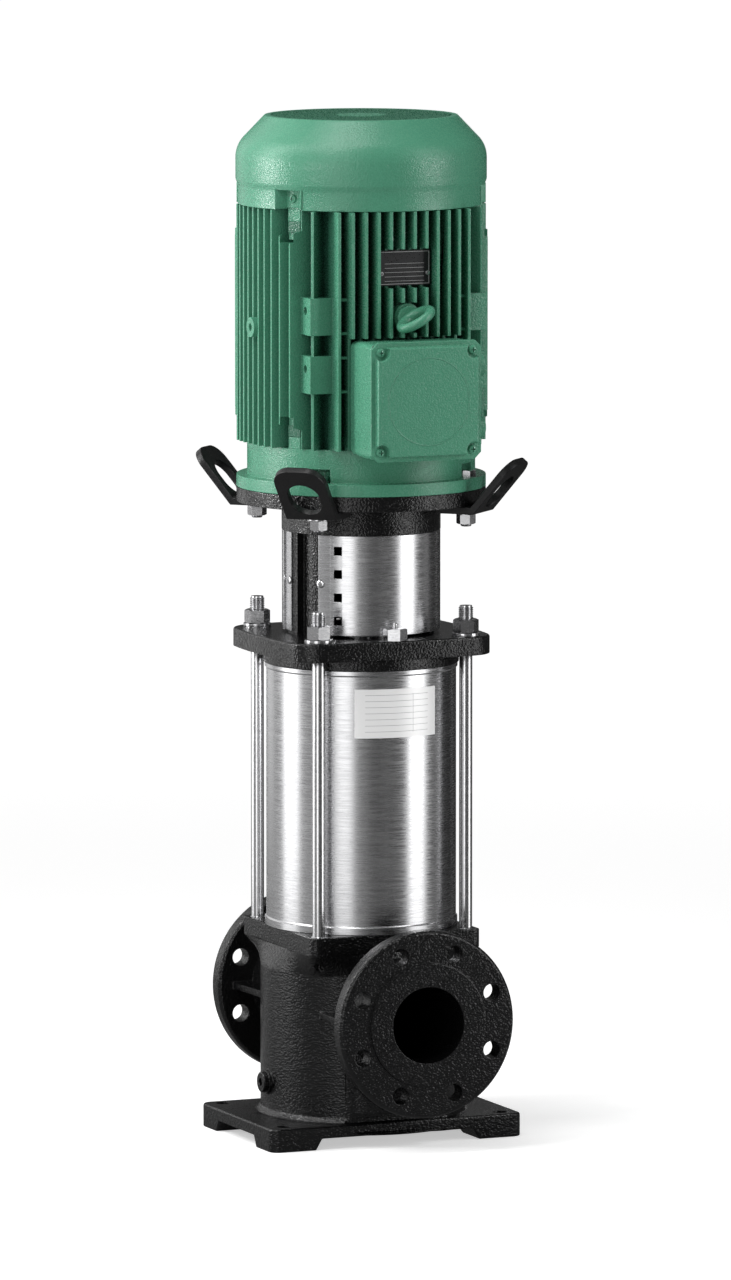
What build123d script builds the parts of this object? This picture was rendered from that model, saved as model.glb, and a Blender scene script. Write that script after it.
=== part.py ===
"""Vertical multistage in-line pump with flanged ports, a coupling lantern and a finned motor.

All lengths are millimetres. +Z runs up the shaft, z = 0 is the floor under the feet and the
ports lie along Y, with the terminal box and the nameplate facing -Y.
"""
import os
from math import cos, radians, sin, sqrt

from build123d import *

os.makedirs("parts", exist_ok=True)

# Foot plate and feet
PLATE_X = 290.6
PLATE_Y = 202.0
PLATE_CORNER_R = 11.0
PLATE_EDGE = 1.5
PLATE_TOP_Z = 25.3
FOOT_HEIGHT = 12.0
FOOT_LENGTH = 51.0
FOOT_WIDTH = 45.0
FOOT_TAPER = 30.0
FOOT_HOLE_R = 7.0
FOOT_HOLE_X = 125.0
FOOT_HOLE_Y = 85.0

# Casing body and the square deck that carries the barrel
BODY_R = 108.0
BODY_FLARE = 5.0
BODY_FLAT_Y = 95.0
BLEND_Z = 182.0
DECK_HALF = 98.0
DECK_CORNER_R = 9.0
DECK_BOTTOM_Z = 206.6
DECK_Z = 226.3
SUCTION_WELL_R = 52.0
SUCTION_WELL_Z = 92.0
ANNULUS_INNER_R = 80.0
ANNULUS_OUTER_R = 92.0
ANNULUS_Z = 192.0
RISER_INNER_R = 64.0
RISER_HALF_ANGLE = 38.0
RISER_Z = 112.0
SPIGOT_R = 97.0
SPIGOT_HEIGHT = 14.0

# Ports, DN 80 PN 16
PORT_Z = 140.0
PORT_BORE_R = 40.5
PORT_BORE_L = 60.0
PASSAGE_R = 44.0
PORT_NECK_R = 60.0
PORT_FACE_Y = 182.5
RAISED_FACE_R = 66.0
RAISED_FACE_T = 3.0
FLANGE_R = 100.0
FLANGE_T = 21.0
FLANGE_EDGE = 3.0
FLANGE_PCD_R = 80.0
FLANGE_HOLES = 8
FLANGE_HOLE_R = 9.0
FAR_FLANGE_HOLE_R = 9.25
RIB_T = 7.5
RIB_TIP_X = 83.0
RIB_ROOT_X = 78.3
RIB_ROOT_Y = 60.0

# Plugs in the casing wall
DRAIN_Z = 60.0
DRAIN_BOSS_R = 13.0
DRAIN_FACE_X = 112.0
DRAIN_PLUG_R = 9.0
DRAIN_HEAD_T = 5.0
GAUGE_Z = 192.0
GAUGE_ANGLE = 225.0
GAUGE_PLUG_R = 5.0
GAUGE_HEAD_R = 107.0

# Barrel sleeve and its seals
SLEEVE_R = 101.5
SLEEVE_INNER_R = 99.5
SLEEVE_LIP_R = 103.0
SLEEVE_LIP_HEIGHT = 8.1
SLEEVE_TOP_LIP = 5.2
SLEEVE_TOP_Z = 508.2
ORING_R = 1.9
ORING_INSET = 7.0

# Casing cover and lantern plate
COVER_R = 104.5
COVER_BORE_R = 24.0
COVER_TOP_Z = 520.4
HEAD_TOP_Z = 540.5
HEAD_SIDE_X = 119.5
HEAD_SIDE_Y = 108.5
HEAD_CORNER_X = 112.0
HEAD_CORNER_Y = 101.5
HEAD_CORNER_R = 34.0
HEAD_EDGE = 1.5

# Tie rods
ROD_POS = 84.85
ROD_R = 7.0
ROD_THREAD_R = 8.0
ROD_DEPTH = 16.0
ROD_TOP_Z = 572.5
ROD_THREAD_Z = 537.0
ROD_HOLE_R = 8.6
ROD_WASHER_R = 15.0
ROD_WASHER_T = 3.0
ROD_NUT_AF = 24.0
ROD_NUT_T = 14.8

# Lantern columns, neck and flange
COLUMN_R = 80.0
COLUMN_INNER_R = 66.0
COLUMN_ANGLES = (17.0, 197.0)
COLUMN_HALF_ANGLE = 27.0
CHANNEL_HALF_ANGLE = 8.0
CHANNEL_R = 71.5
NECK_R = 84.8
NECK_Z = 649.9
LANTERN_BORE_R = 60.0
LANTERN_FLANGE_Z = 680.4
LANTERN_TOP_Z = 696.4
MOTOR_FLANGE_R = 132.9

# Coupling guards
GUARD_R = 84.5
GUARD_T = 1.5
GUARD_ANGLES = (287.0, 107.0)
GUARD_HALF_ANGLE = 74.0
GUARD_FOLD_ANGLE = 11.0
GUARD_FOLD_STEP = 3.0
GUARD_BOTTOM_Z = 543.8
GUARD_SCREW_Z = 598.0
GUARD_SCREW_ANGLE = 71.7
GUARD_SCREW_HEAD_R = 4.5
GUARD_SLOT_ANGLE = 57.0
GUARD_SLOT_SIZE = 9.0
GUARD_SLOT_Z = (559.3, 584.3, 609.3, 634.0)
GUARD_SCREW_R = 2.5
GUARD_SCREW_DEPTH = 8.0
GUARD_SCREW_HEAD_T = 2.0

# Vent plug on the lantern plate
VENT_X = -2.0
VENT_Y = -97.0
VENT_AF = 22.5
VENT_HEIGHT = 13.0
VENT_THREAD_R = 8.0
BLEED_R = 2.75
BLEED_HEAD_Z = 559.5
BLEED_GAP = 0.05

# Stage stack: pressed casings with diffuser vanes, and closed impellers
STAGES = 4
STAGE_PITCH = 62.0
STAGE_Z = 240.0
STAGE_R = 76.0
STAGE_WALL = 2.0
STAGE_EYE_R = 34.0
DIFFUSER_Z = 34.0
DIFFUSER_T = 2.5
DIFFUSER_R = 66.0
DIFFUSER_BORE_R = 19.0
DIFFUSER_HUB_R = 23.0
DIFFUSER_HUB_DROP = 12.0
RETURN_VANES = 7
RETURN_VANE_T = 3.0
RETURN_SWEEP = 50.0
IMPELLER_R = 61.0
IMPELLER_EYE_R = 31.0
IMPELLER_NECK_R = 33.5
IMPELLER_HUB_R = 16.0
IMPELLER_HUB_Z = 8.0
IMPELLER_FRONT_Z = 12.0
IMPELLER_RIM_Z = 17.0
IMPELLER_BACK_Z = 26.0
IMPELLER_SHROUD_T = 2.5
IMPELLER_VANES = 6
IMPELLER_VANE_T = 3.0
IMPELLER_SWEEP = 80.0

# Bearing carrier under the stages and clamp spider over them
CARRIER_RIM_R = 50.0
CARRIER_HUB_R = 20.0
CARRIER_BUSH_R = 16.0
CARRIER_ARM_T = 7.0
RUNNING_GAP = 0.05
SPIDER_FEET = 6
SPIDER_FOOT_WIDTH = 16.0
SPIDER_RIM_T = 4.0
SPIDER_INNER_R = 62.0

# Shafts, coupling and shaft seal
PUMP_SHAFT_R = 11.0
PUMP_SHAFT_Z = 228.0
PUMP_SHAFT_TOP_Z = 597.0
SHAFT_COLLAR_R = 14.5
SHAFT_COLLAR_Z = 243.0
SHAFT_NUT_AF = 30.0
SHAFT_NUT_T = 8.0
SEAL_HEAD_R = 21.0
SEAL_FACE_R = 17.0
SEAL_FACE_Z = 524.0
SEAL_BODY_Z = 516.0
SEAT_R = 22.0
SEAT_TOP_Z = 532.0
SEAL_BORE_R = 12.0
SEAL_COVER_R = 44.0
SEAL_COVER_T = 7.0
SEAL_SPIGOT_R = 30.0
SEAL_COVER_PCD_R = 36.5
SEAL_SCREW_R = 3.0
SEAL_SCREW_HEAD_R = 5.0
SEAL_SCREW_DEPTH = 11.0
SEAL_SCREW_HEAD_T = 6.0
COUPLING_R = 38.0
COUPLING_Z = 556.0
COUPLING_TOP_Z = 644.0
COUPLING_SPLIT = 1.0
COUPLING_SCREW_X = 27.0
COUPLING_SCREW_Z = (572.0, 628.0)
COUPLING_SCREW_R = 4.0
COUPLING_HEAD_R = 6.5
COUPLING_HEAD_T = 8.0
COUPLING_HEAD_Y = 18.0
MOTOR_SHAFT_R = 14.0
MOTOR_SHAFT_Z = 603.0

# Flange bolts between the lantern and the motor
FLANGE_BOLT_R = 6.0
FLANGE_BOLT_Z = 657.0
FLANGE_BOLT_AF = 18.0
FLANGE_BOLT_HEAD_T = 7.5
FLANGE_NUT_T = 10.8
FLANGE_WASHER_R = 12.0
FLANGE_WASHER_T = 2.1

# Bent lifting lugs under the lantern flange
LUG_T = 8.0
LUG_WIDTH = 58.0
LUG_INNER_R = 100.0
LUG_BEND_R = 139.7
LUG_ANGLE = 50.0
LUG_LENGTH = 71.0
LUG_CORNER_R = 20.0
LUG_HOLE_WIDTH = 35.0
LUG_HOLE_LENGTH = 43.0
LUG_HOLE_S = 29.5

# Motor drive-end shield
SHIELD_FLANGE_Z = 709.7
SHIELD_SPIGOT_T = 6.0
SHIELD_SHAFT_R = 17.0
BELL_R = 121.5
BELL_INNER_R = 98.0
BELL_TOP_Z = 745.0
BOLT_POCKET_R = 13.5
BOLT_POCKET_Z = 724.0
DRIVE_BEARING_R = 36.0
DRIVE_BEARING_T = 19.0
DRIVE_HUB_R = 44.0

# Joining ears of the shields and of the frame
EAR_ANGLES = (31.0, 149.0, 211.0, 329.0)
EAR_R = 120.0
EAR_WIDTH = 16.0
EAR_ROOT_R = 104.0
EAR_CLEARANCE = 0.5
LOWER_EAR_Z = 737.0
LOWER_JOINT_Z = 757.0
LOWER_EAR_TOP_Z = 769.0
UPPER_EAR_Z = 973.0
UPPER_JOINT_Z = 985.0
UPPER_EAR_TOP_Z = 1019.0
EAR_SCREW_POS_R = 112.5
EAR_SCREW_R = 3.0
EAR_SCREW_AF = 10.0
EAR_SCREW_HEAD_T = 4.0
EAR_SCREW_DEPTH = 14.0
EAR_CUT_X = 100.0
EAR_CUT_Y = 54.0
EAR_CUT_DEPTH = 26.0
EAR_CUT_SLOPE = 8.0
LOWER_CUT_Z = 773.0
UPPER_CUT_Z = 968.0

# Finned motor frame
FRAME_R = 104.0
FRAME_BORE_R = 94.0
FRAME_TOP_Z = 1000.0
FIN_PITCH = 13.5
FIN_COUNT = 12
FIN_T = 3.4
FIN_TIP_Y = 130.5
FIN_TIP_X = 127.5
FIN_POWER = 2.55
CORNER_RIB_R = 137.0
CORNER_RIB_T = 3.4
PAD_INNER = 74.25
PAD_OUTER = 101.0
PAD_Z = ((805.2, 845.0), (866.8, 906.1))
PAD_HOLE_R = 4.25
PAD_HOLE_Y = 87.0
PAD_HOLE_Z = (831.0, 892.5)
PAD_DEPTH = 20.0
BOSS_Y = -8.0
BOSS_Z = 870.0
BOSS_R = 10.5
BOSS_FACE_X = 131.0
BOSS_HOLE_R = 4.0
EYE_Z = 885.0
EYE_BOSS_R = 15.0
EYE_SEAT_Y = 124.5

# Nameplate place between the front fins
NAMEPLATE_X = 59.0
NAMEPLATE_Z = 37.0
NAMEPLATE_MID_Z = 937.0
NAMEPLATE_Y = 115.5
NAMEPLATE_T = 1.0
NAMEPLATE_MARGIN = 2.0
RIVET_X = 26.5
RIVET_Z = 931.0
RIVET_R = 1.6

# Eyebolt
EYE_COLLAR_R = 12.5
EYE_COLLAR_T = 5.0
EYE_THREAD_R = 5.0
EYE_THREAD_L = 16.0
EYE_RING_R = 17.5
EYE_SECTION_R = 5.0
EYE_REACH = 22.5
EYE_ROLL = 31.6

# Rotor, stator and bearings
CORE_Z = 790.0
CORE_LENGTH = 140.0
ROTOR_R = 60.0
AIR_GAP = 0.5
WINDING_INNER_R = 64.0
WINDING_OUTER_R = 87.0
WINDING_LENGTH = 28.0
ROTOR_RING_R = 44.0
ROTOR_RING_L = 10.0
MOTOR_SHAFT_BEARING_R = 15.0
MOTOR_SHAFT_CORE_R = 20.0
MOTOR_SHAFT_FAN_R = 12.0
MOTOR_SHAFT_TOP_Z = 1050.0
BEARING_SPLIT_R = 25.5
REAR_BEARING_R = 31.0
REAR_BEARING_T = 16.0
REAR_BEARING_Z = 988.0
REAR_HUB_R = 39.0
REAR_SHIELD_R = 120.0
REAR_SHIELD_T = 8.0
REAR_HUB_TOP_Z = 1010.0

# Fan and fan cover
FAN_Z = 1022.0
FAN_HEIGHT = 26.0
FAN_HUB_R = 20.0
FAN_PLATE_R = 62.0
FAN_PLATE_T = 3.0
FAN_R = 105.0
FAN_BLADES = 7
FAN_BLADE_T = 3.0
HOOD_R = 133.5
HOOD_RIM_R = 131.0
HOOD_T = 2.0
HOOD_BOTTOM_Z = 997.4
HOOD_STEP_Z = 1020.0
HOOD_SHOULDER_Z = 1048.0
HOOD_SHOULDER_R = 124.5
HOOD_SHOULDER_MID_Z = 1071.0
HOOD_GRILLE_R = 102.4
HOOD_TOP_Z = 1091.5
HOOD_SLOT_RINGS = ((34.0, 50.0), (55.0, 72.0), (77.0, 95.0))
HOOD_SLOT_COUNT = 6
HOOD_SLOT_ANGLE = 52.0
NOTCH_WIDTH = 34.0
NOTCH_HEIGHT = 21.0
TAB_WIDTH = 20.0
HOOD_SCREW_Z = 1009.0
HOOD_SCREW_R = 2.5
HOOD_SCREW_HEAD_R = 4.5
HOOD_SCREW_HEAD_T = 2.5
HOOD_SCREW_DEPTH = 10.0

# Terminal box
BOX_BACK_Y = 112.0
BOX_NECK_HALF = 50.0
BOX_FLARE_Y = 142.0
BOX_FRONT_Y = 170.0
BOX_HALF = 61.0
BOX_MID_Z = 801.0
BOX_WALL = 4.0
BOX_CORNER_R = 6.0
GASKET_T = 1.5
LID_HALF = 63.0
LID_CORNER = 7.5
LID_T = 3.5
LID_PANEL_HALF = 57.5
LID_PANEL_T = 7.0
LID_PANEL_EDGE = 1.2
LID_SCREW_POS = 52.5
LID_SCALLOP_R = 8.0
LID_SCREW_R = 2.5
LID_SCREW_HEAD_R = 4.8
LID_SCREW_HEAD_T = 3.0
LID_SCREW_DEPTH = 12.0
BLOCK_X = 64.0
BLOCK_Z = 40.0
BLOCK_T = 14.0
BLOCK_STUD_R = 2.5
BLOCK_STUD_X = 20.0
BLOCK_STUD_Z = 10.0
BLOCK_STUD_L = 10.0
ENTRY_Y = 147.0
ENTRY_Z = (769.0, 834.0)
ENTRY_R = 12.5
ENTRY_BOSS_X = 67.0
ENTRY_HOLE_R = 8.0
ENTRY_HEAD_T = 9.0

# Rating label on the barrel
LABEL_Z = 437.0
LABEL_HEIGHT = 52.0
LABEL_ANGLE = 54.0
LABEL_T = 0.4
LABEL_GAP = 0.3


def ring_points(radius, angles):
    """Points on a circle about the shaft, one for each angle in degrees."""
    return [(radius * cos(radians(a)), radius * sin(radians(a))) for a in angles]


def square_points(half_x, half_y):
    """The four corners of a rectangle centred on the shaft."""
    return [(sx * half_x, sy * half_y) for sx in (-1, 1) for sy in (-1, 1)]


def port_plane(side, y):
    """A sketch plane across the port axis, facing out of the port on the given side."""
    return Plane(origin=(0, side * y, PORT_Z), x_dir=(1, 0, 0), z_dir=(0, side, 0))


def radial_plane(angle, radius, z):
    """A sketch plane facing away from the shaft, with its own Y pointing up."""
    direction = (cos(radians(angle)), sin(radians(angle)), 0)
    return Plane(
        origin=(radius * direction[0], radius * direction[1], z),
        x_dir=(-direction[1], direction[0], 0),
        z_dir=direction,
    )


def sector(inner, outer, start, end):
    """A flat ring sector between two radii and two angles."""
    with BuildSketch() as piece:
        with BuildLine():
            outer_start, outer_mid, outer_end = ring_points(outer, (start, (start + end) / 2, end))
            inner_start, inner_mid, inner_end = ring_points(inner, (start, (start + end) / 2, end))
            ThreePointArc(outer_start, outer_mid, outer_end)
            Line(outer_end, inner_end)
            ThreePointArc(inner_end, inner_mid, inner_start)
            Line(inner_start, outer_start)
        make_face()
    return piece.sketch_local


def curved_vane(inner, outer, sweep, width):
    """A curved vane between two radii, its outer end turned on by the sweep angle."""
    with BuildSketch() as piece:
        with BuildLine():
            ThreePointArc(
                (inner, 0), ring_points((inner + outer) / 2, (sweep * 0.4,))[0],
                ring_points(outer, (sweep,))[0],
            )
        trace(line_width=width)
    return piece.sketch_local


def save(builder, label):
    """Name a finished piece and write its STEP file."""
    builder.part.label = label
    export_step(builder.part, f"parts/{label}.step")


# The base casing is one casting: foot plate, round body, square deck and two flanged ports.
with BuildPart() as base_casing:
    with BuildSketch():
        RectangleRounded(PLATE_X, PLATE_Y, PLATE_CORNER_R)
    extrude(amount=PLATE_TOP_Z)
    chamfer(base_casing.faces().sort_by(Axis.Z)[-1].edges(), PLATE_EDGE)
    with BuildSketch():
        Rectangle(PLATE_X - 2 * FOOT_LENGTH, 2 * PLATE_Y)
    extrude(amount=FOOT_HEIGHT, taper=FOOT_TAPER, mode=Mode.SUBTRACT)
    with BuildSketch():
        Rectangle(2 * PLATE_X, PLATE_Y - 2 * FOOT_WIDTH)
    extrude(amount=FOOT_HEIGHT, taper=FOOT_TAPER, mode=Mode.SUBTRACT)

    # Round body with a flared foot, flattened front and back where the plate ends
    with BuildPart(mode=Mode.PRIVATE) as body:
        with BuildSketch(Plane.XZ):
            Polygon(
                (0, FOOT_HEIGHT + 1), (BODY_R + BODY_FLARE, FOOT_HEIGHT + 1),
                (BODY_R + BODY_FLARE, PLATE_TOP_Z), (BODY_R, PLATE_TOP_Z + BODY_FLARE),
                (BODY_R, BLEND_Z), (0, BLEND_Z), align=None,
            )
        revolve(axis=Axis.Z)
        for side in (-1, 1):
            with Locations((0, side * (BODY_FLAT_Y + BODY_R), PLATE_TOP_Z)):
                Box(2 * BODY_R, 2 * BODY_R, 4 * BODY_FLARE, mode=Mode.SUBTRACT)
    add(body)

    # The deck corners grow out of the round body
    with BuildSketch(Plane.XY.offset(BLEND_Z)):
        Circle(BODY_R)
    with BuildSketch(Plane.XY.offset(DECK_BOTTOM_Z)):
        RectangleRounded(2 * DECK_HALF, 2 * DECK_HALF, DECK_CORNER_R)
    loft()
    with BuildSketch(Plane.XY.offset(DECK_BOTTOM_Z)):
        RectangleRounded(2 * DECK_HALF, 2 * DECK_HALF, DECK_CORNER_R)
    extrude(amount=DECK_Z - DECK_BOTTOM_Z)
    with BuildSketch(Plane.XY.offset(DECK_Z)):
        Circle(SPIGOT_R)
    extrude(amount=SPIGOT_HEIGHT)

    # Ports
    for side in (-1, 1):
        with BuildSketch(port_plane(side, RIB_ROOT_Y)):
            Circle(PORT_NECK_R)
        extrude(amount=PORT_FACE_Y - RAISED_FACE_T - RIB_ROOT_Y)
        with BuildSketch(port_plane(side, PORT_FACE_Y - RAISED_FACE_T - FLANGE_T)):
            Circle(FLANGE_R)
        extrude(amount=FLANGE_T)
        with BuildSketch(port_plane(side, PORT_FACE_Y - RAISED_FACE_T)):
            Circle(RAISED_FACE_R)
        extrude(amount=RAISED_FACE_T)
        with BuildSketch(Plane.XY.offset(PORT_Z)):
            with BuildLine():
                Polyline(
                    (-RIB_ROOT_X, side * RIB_ROOT_Y), (RIB_ROOT_X, side * RIB_ROOT_Y),
                    (RIB_TIP_X, side * (PORT_FACE_Y - RAISED_FACE_T - FLANGE_T)),
                    (-RIB_TIP_X, side * (PORT_FACE_Y - RAISED_FACE_T - FLANGE_T)),
                    close=True,
                )
            make_face()
        extrude(amount=RIB_T / 2, both=True)
    rims = [
        e for e in base_casing.edges().filter_by(GeomType.CIRCLE)
        if abs(e.radius - FLANGE_R) < 0.01 and abs(abs(e.center().Y) - 170) < 15
    ]
    chamfer(rims, FLANGE_EDGE)

    # Boss for the drain plug
    with BuildSketch(radial_plane(180, BODY_R - 6, DRAIN_Z)):
        Circle(DRAIN_BOSS_R)
    extrude(amount=DRAIN_FACE_X - BODY_R + 6)

    # Waterways: suction well in the middle, discharge annulus and riser around it
    for side, start_y in ((-1, 0), (1, RISER_INNER_R + 4)):
        with BuildSketch(port_plane(side, PORT_FACE_Y)):
            Circle(PORT_BORE_R)
        extrude(amount=-PORT_BORE_L, mode=Mode.SUBTRACT)
        with BuildSketch(port_plane(side, PORT_FACE_Y - PORT_BORE_L)):
            Circle(PASSAGE_R)
        extrude(amount=start_y + PORT_BORE_L - PORT_FACE_Y, mode=Mode.SUBTRACT)
    with BuildSketch(Plane.XY.offset(SUCTION_WELL_Z)):
        Circle(SUCTION_WELL_R)
    extrude(amount=DECK_Z - SUCTION_WELL_Z, mode=Mode.SUBTRACT)
    with BuildSketch(Plane.XY.offset(DECK_Z)):
        Circle(ANNULUS_OUTER_R)
    extrude(amount=SPIGOT_HEIGHT, mode=Mode.SUBTRACT)
    with BuildSketch(Plane.XY.offset(ANNULUS_Z)):
        Circle(ANNULUS_OUTER_R)
        Circle(ANNULUS_INNER_R, mode=Mode.SUBTRACT)
    extrude(amount=DECK_Z - ANNULUS_Z, mode=Mode.SUBTRACT)
    with BuildSketch(Plane.XY.offset(RISER_Z)):
        add(sector(RISER_INNER_R, ANNULUS_OUTER_R, 90 - RISER_HALF_ANGLE, 90 + RISER_HALF_ANGLE))
    extrude(amount=ANNULUS_Z - RISER_Z + 1, mode=Mode.SUBTRACT)

    # Holes: feet, flanges, tie rods, plugs and the seal groove
    with BuildSketch():
        with Locations(*square_points(FOOT_HOLE_X, FOOT_HOLE_Y)):
            Circle(FOOT_HOLE_R)
    extrude(amount=PLATE_TOP_Z, mode=Mode.SUBTRACT)
    for side, hole_r in ((-1, FLANGE_HOLE_R), (1, FAR_FLANGE_HOLE_R)):
        with BuildSketch(port_plane(side, PORT_FACE_Y)):
            with PolarLocations(FLANGE_PCD_R, FLANGE_HOLES, start_angle=180 / FLANGE_HOLES):
                Circle(hole_r)
        extrude(amount=-RAISED_FACE_T - FLANGE_T, mode=Mode.SUBTRACT)
    with BuildSketch(Plane.XY.offset(DECK_Z - ROD_DEPTH)):
        with Locations(*square_points(ROD_POS, ROD_POS)):
            Circle(ROD_THREAD_R)
    extrude(amount=ROD_DEPTH, mode=Mode.SUBTRACT)
    with BuildSketch(radial_plane(180, DRAIN_FACE_X, DRAIN_Z)):
        Circle(DRAIN_PLUG_R)
    extrude(amount=-22, mode=Mode.SUBTRACT)
    with BuildSketch(radial_plane(GAUGE_ANGLE, 135, GAUGE_Z)):
        Circle(GAUGE_PLUG_R)
    extrude(amount=-39, mode=Mode.SUBTRACT)
    with BuildSketch(Plane.XZ):
        with Locations((SPIGOT_R, DECK_Z + ORING_INSET)):
            Rectangle(2 * (SPIGOT_R - SLEEVE_INNER_R + 2 * ORING_R), 2 * ORING_R)
    revolve(axis=Axis.Z, mode=Mode.SUBTRACT)
save(base_casing, "base_casing")

# The drain plug is a socket-head screw with a flat collar.
with BuildPart() as drain_plug:
    with BuildSketch(radial_plane(180, DRAIN_FACE_X - 16, DRAIN_Z)):
        Circle(DRAIN_PLUG_R)
    extrude(amount=16)
    with BuildSketch(radial_plane(180, DRAIN_FACE_X, DRAIN_Z)):
        Circle(DRAIN_PLUG_R + 2)
    extrude(amount=DRAIN_HEAD_T)
    chamfer(drain_plug.faces().sort_by(Axis.X)[0].edges(), 1)
    with BuildSketch(radial_plane(180, DRAIN_FACE_X + DRAIN_HEAD_T, DRAIN_Z)):
        RegularPolygon(4.6, 6)
    extrude(amount=-6, mode=Mode.SUBTRACT)
save(drain_plug, "drain_plug")

# The gauge plug closes the small tapping under the front deck corner.
with BuildPart() as gauge_plug:
    with BuildSketch(radial_plane(GAUGE_ANGLE, 98, GAUGE_Z)):
        Circle(GAUGE_PLUG_R)
    extrude(amount=GAUGE_HEAD_R + 5 - 98)
    with BuildSketch(radial_plane(GAUGE_ANGLE, GAUGE_HEAD_R + 5, GAUGE_Z)):
        RegularPolygon(2.6, 6)
    extrude(amount=-4, mode=Mode.SUBTRACT)
save(gauge_plug, "gauge_plug")

# The barrel is a thin stainless sleeve with a rolled lip at each end.
with BuildPart() as barrel_sleeve:
    with BuildSketch(Plane.XZ):
        with BuildLine():
            Polyline(
                (SLEEVE_INNER_R, DECK_Z), (SLEEVE_LIP_R - 0.8, DECK_Z), (SLEEVE_LIP_R, DECK_Z + 1),
                (SLEEVE_LIP_R, DECK_Z + SLEEVE_LIP_HEIGHT - 1), (SLEEVE_R, DECK_Z + SLEEVE_LIP_HEIGHT),
                (SLEEVE_R, SLEEVE_TOP_Z - SLEEVE_TOP_LIP),
                (SLEEVE_LIP_R, SLEEVE_TOP_Z - SLEEVE_TOP_LIP + 1),
                (SLEEVE_LIP_R, SLEEVE_TOP_Z), (SLEEVE_INNER_R, SLEEVE_TOP_Z),
                close=True,
            )
        make_face()
    revolve(axis=Axis.Z)
save(barrel_sleeve, "barrel_sleeve")

# Two rubber rings seal the sleeve on the spigots of the casing and of the cover.
with BuildPart() as sleeve_o_rings:
    for z in (DECK_Z + ORING_INSET, SLEEVE_TOP_Z - ORING_INSET):
        with BuildSketch(Plane.XZ):
            with Locations((SLEEVE_INNER_R - ORING_R, z)):
                Circle(ORING_R)
        revolve(axis=Axis.Z)
save(sleeve_o_rings, "sleeve_o_rings")

# The casing cover closes the barrel: a black rim, a spigot in the sleeve and the seal opening.
with BuildPart() as casing_cover:
    with BuildSketch(Plane.XY.offset(SLEEVE_TOP_Z)):
        Circle(COVER_R)
    extrude(amount=COVER_TOP_Z - SLEEVE_TOP_Z)
    with BuildSketch(Plane.XY.offset(SLEEVE_TOP_Z)):
        Circle(SPIGOT_R)
        Circle(ANNULUS_OUTER_R, mode=Mode.SUBTRACT)
    extrude(amount=-SPIGOT_HEIGHT)
    with BuildSketch(Plane.XY.offset(SLEEVE_TOP_Z)):
        Circle(COVER_BORE_R)
    extrude(amount=COVER_TOP_Z - SLEEVE_TOP_Z, mode=Mode.SUBTRACT)
    with BuildSketch(Plane.XZ):
        with Locations((SPIGOT_R, SLEEVE_TOP_Z - ORING_INSET)):
            Rectangle(2 * (SPIGOT_R - SLEEVE_INNER_R + 2 * ORING_R), 2 * ORING_R)
    revolve(axis=Axis.Z, mode=Mode.SUBTRACT)
save(casing_cover, "casing_cover")

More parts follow.
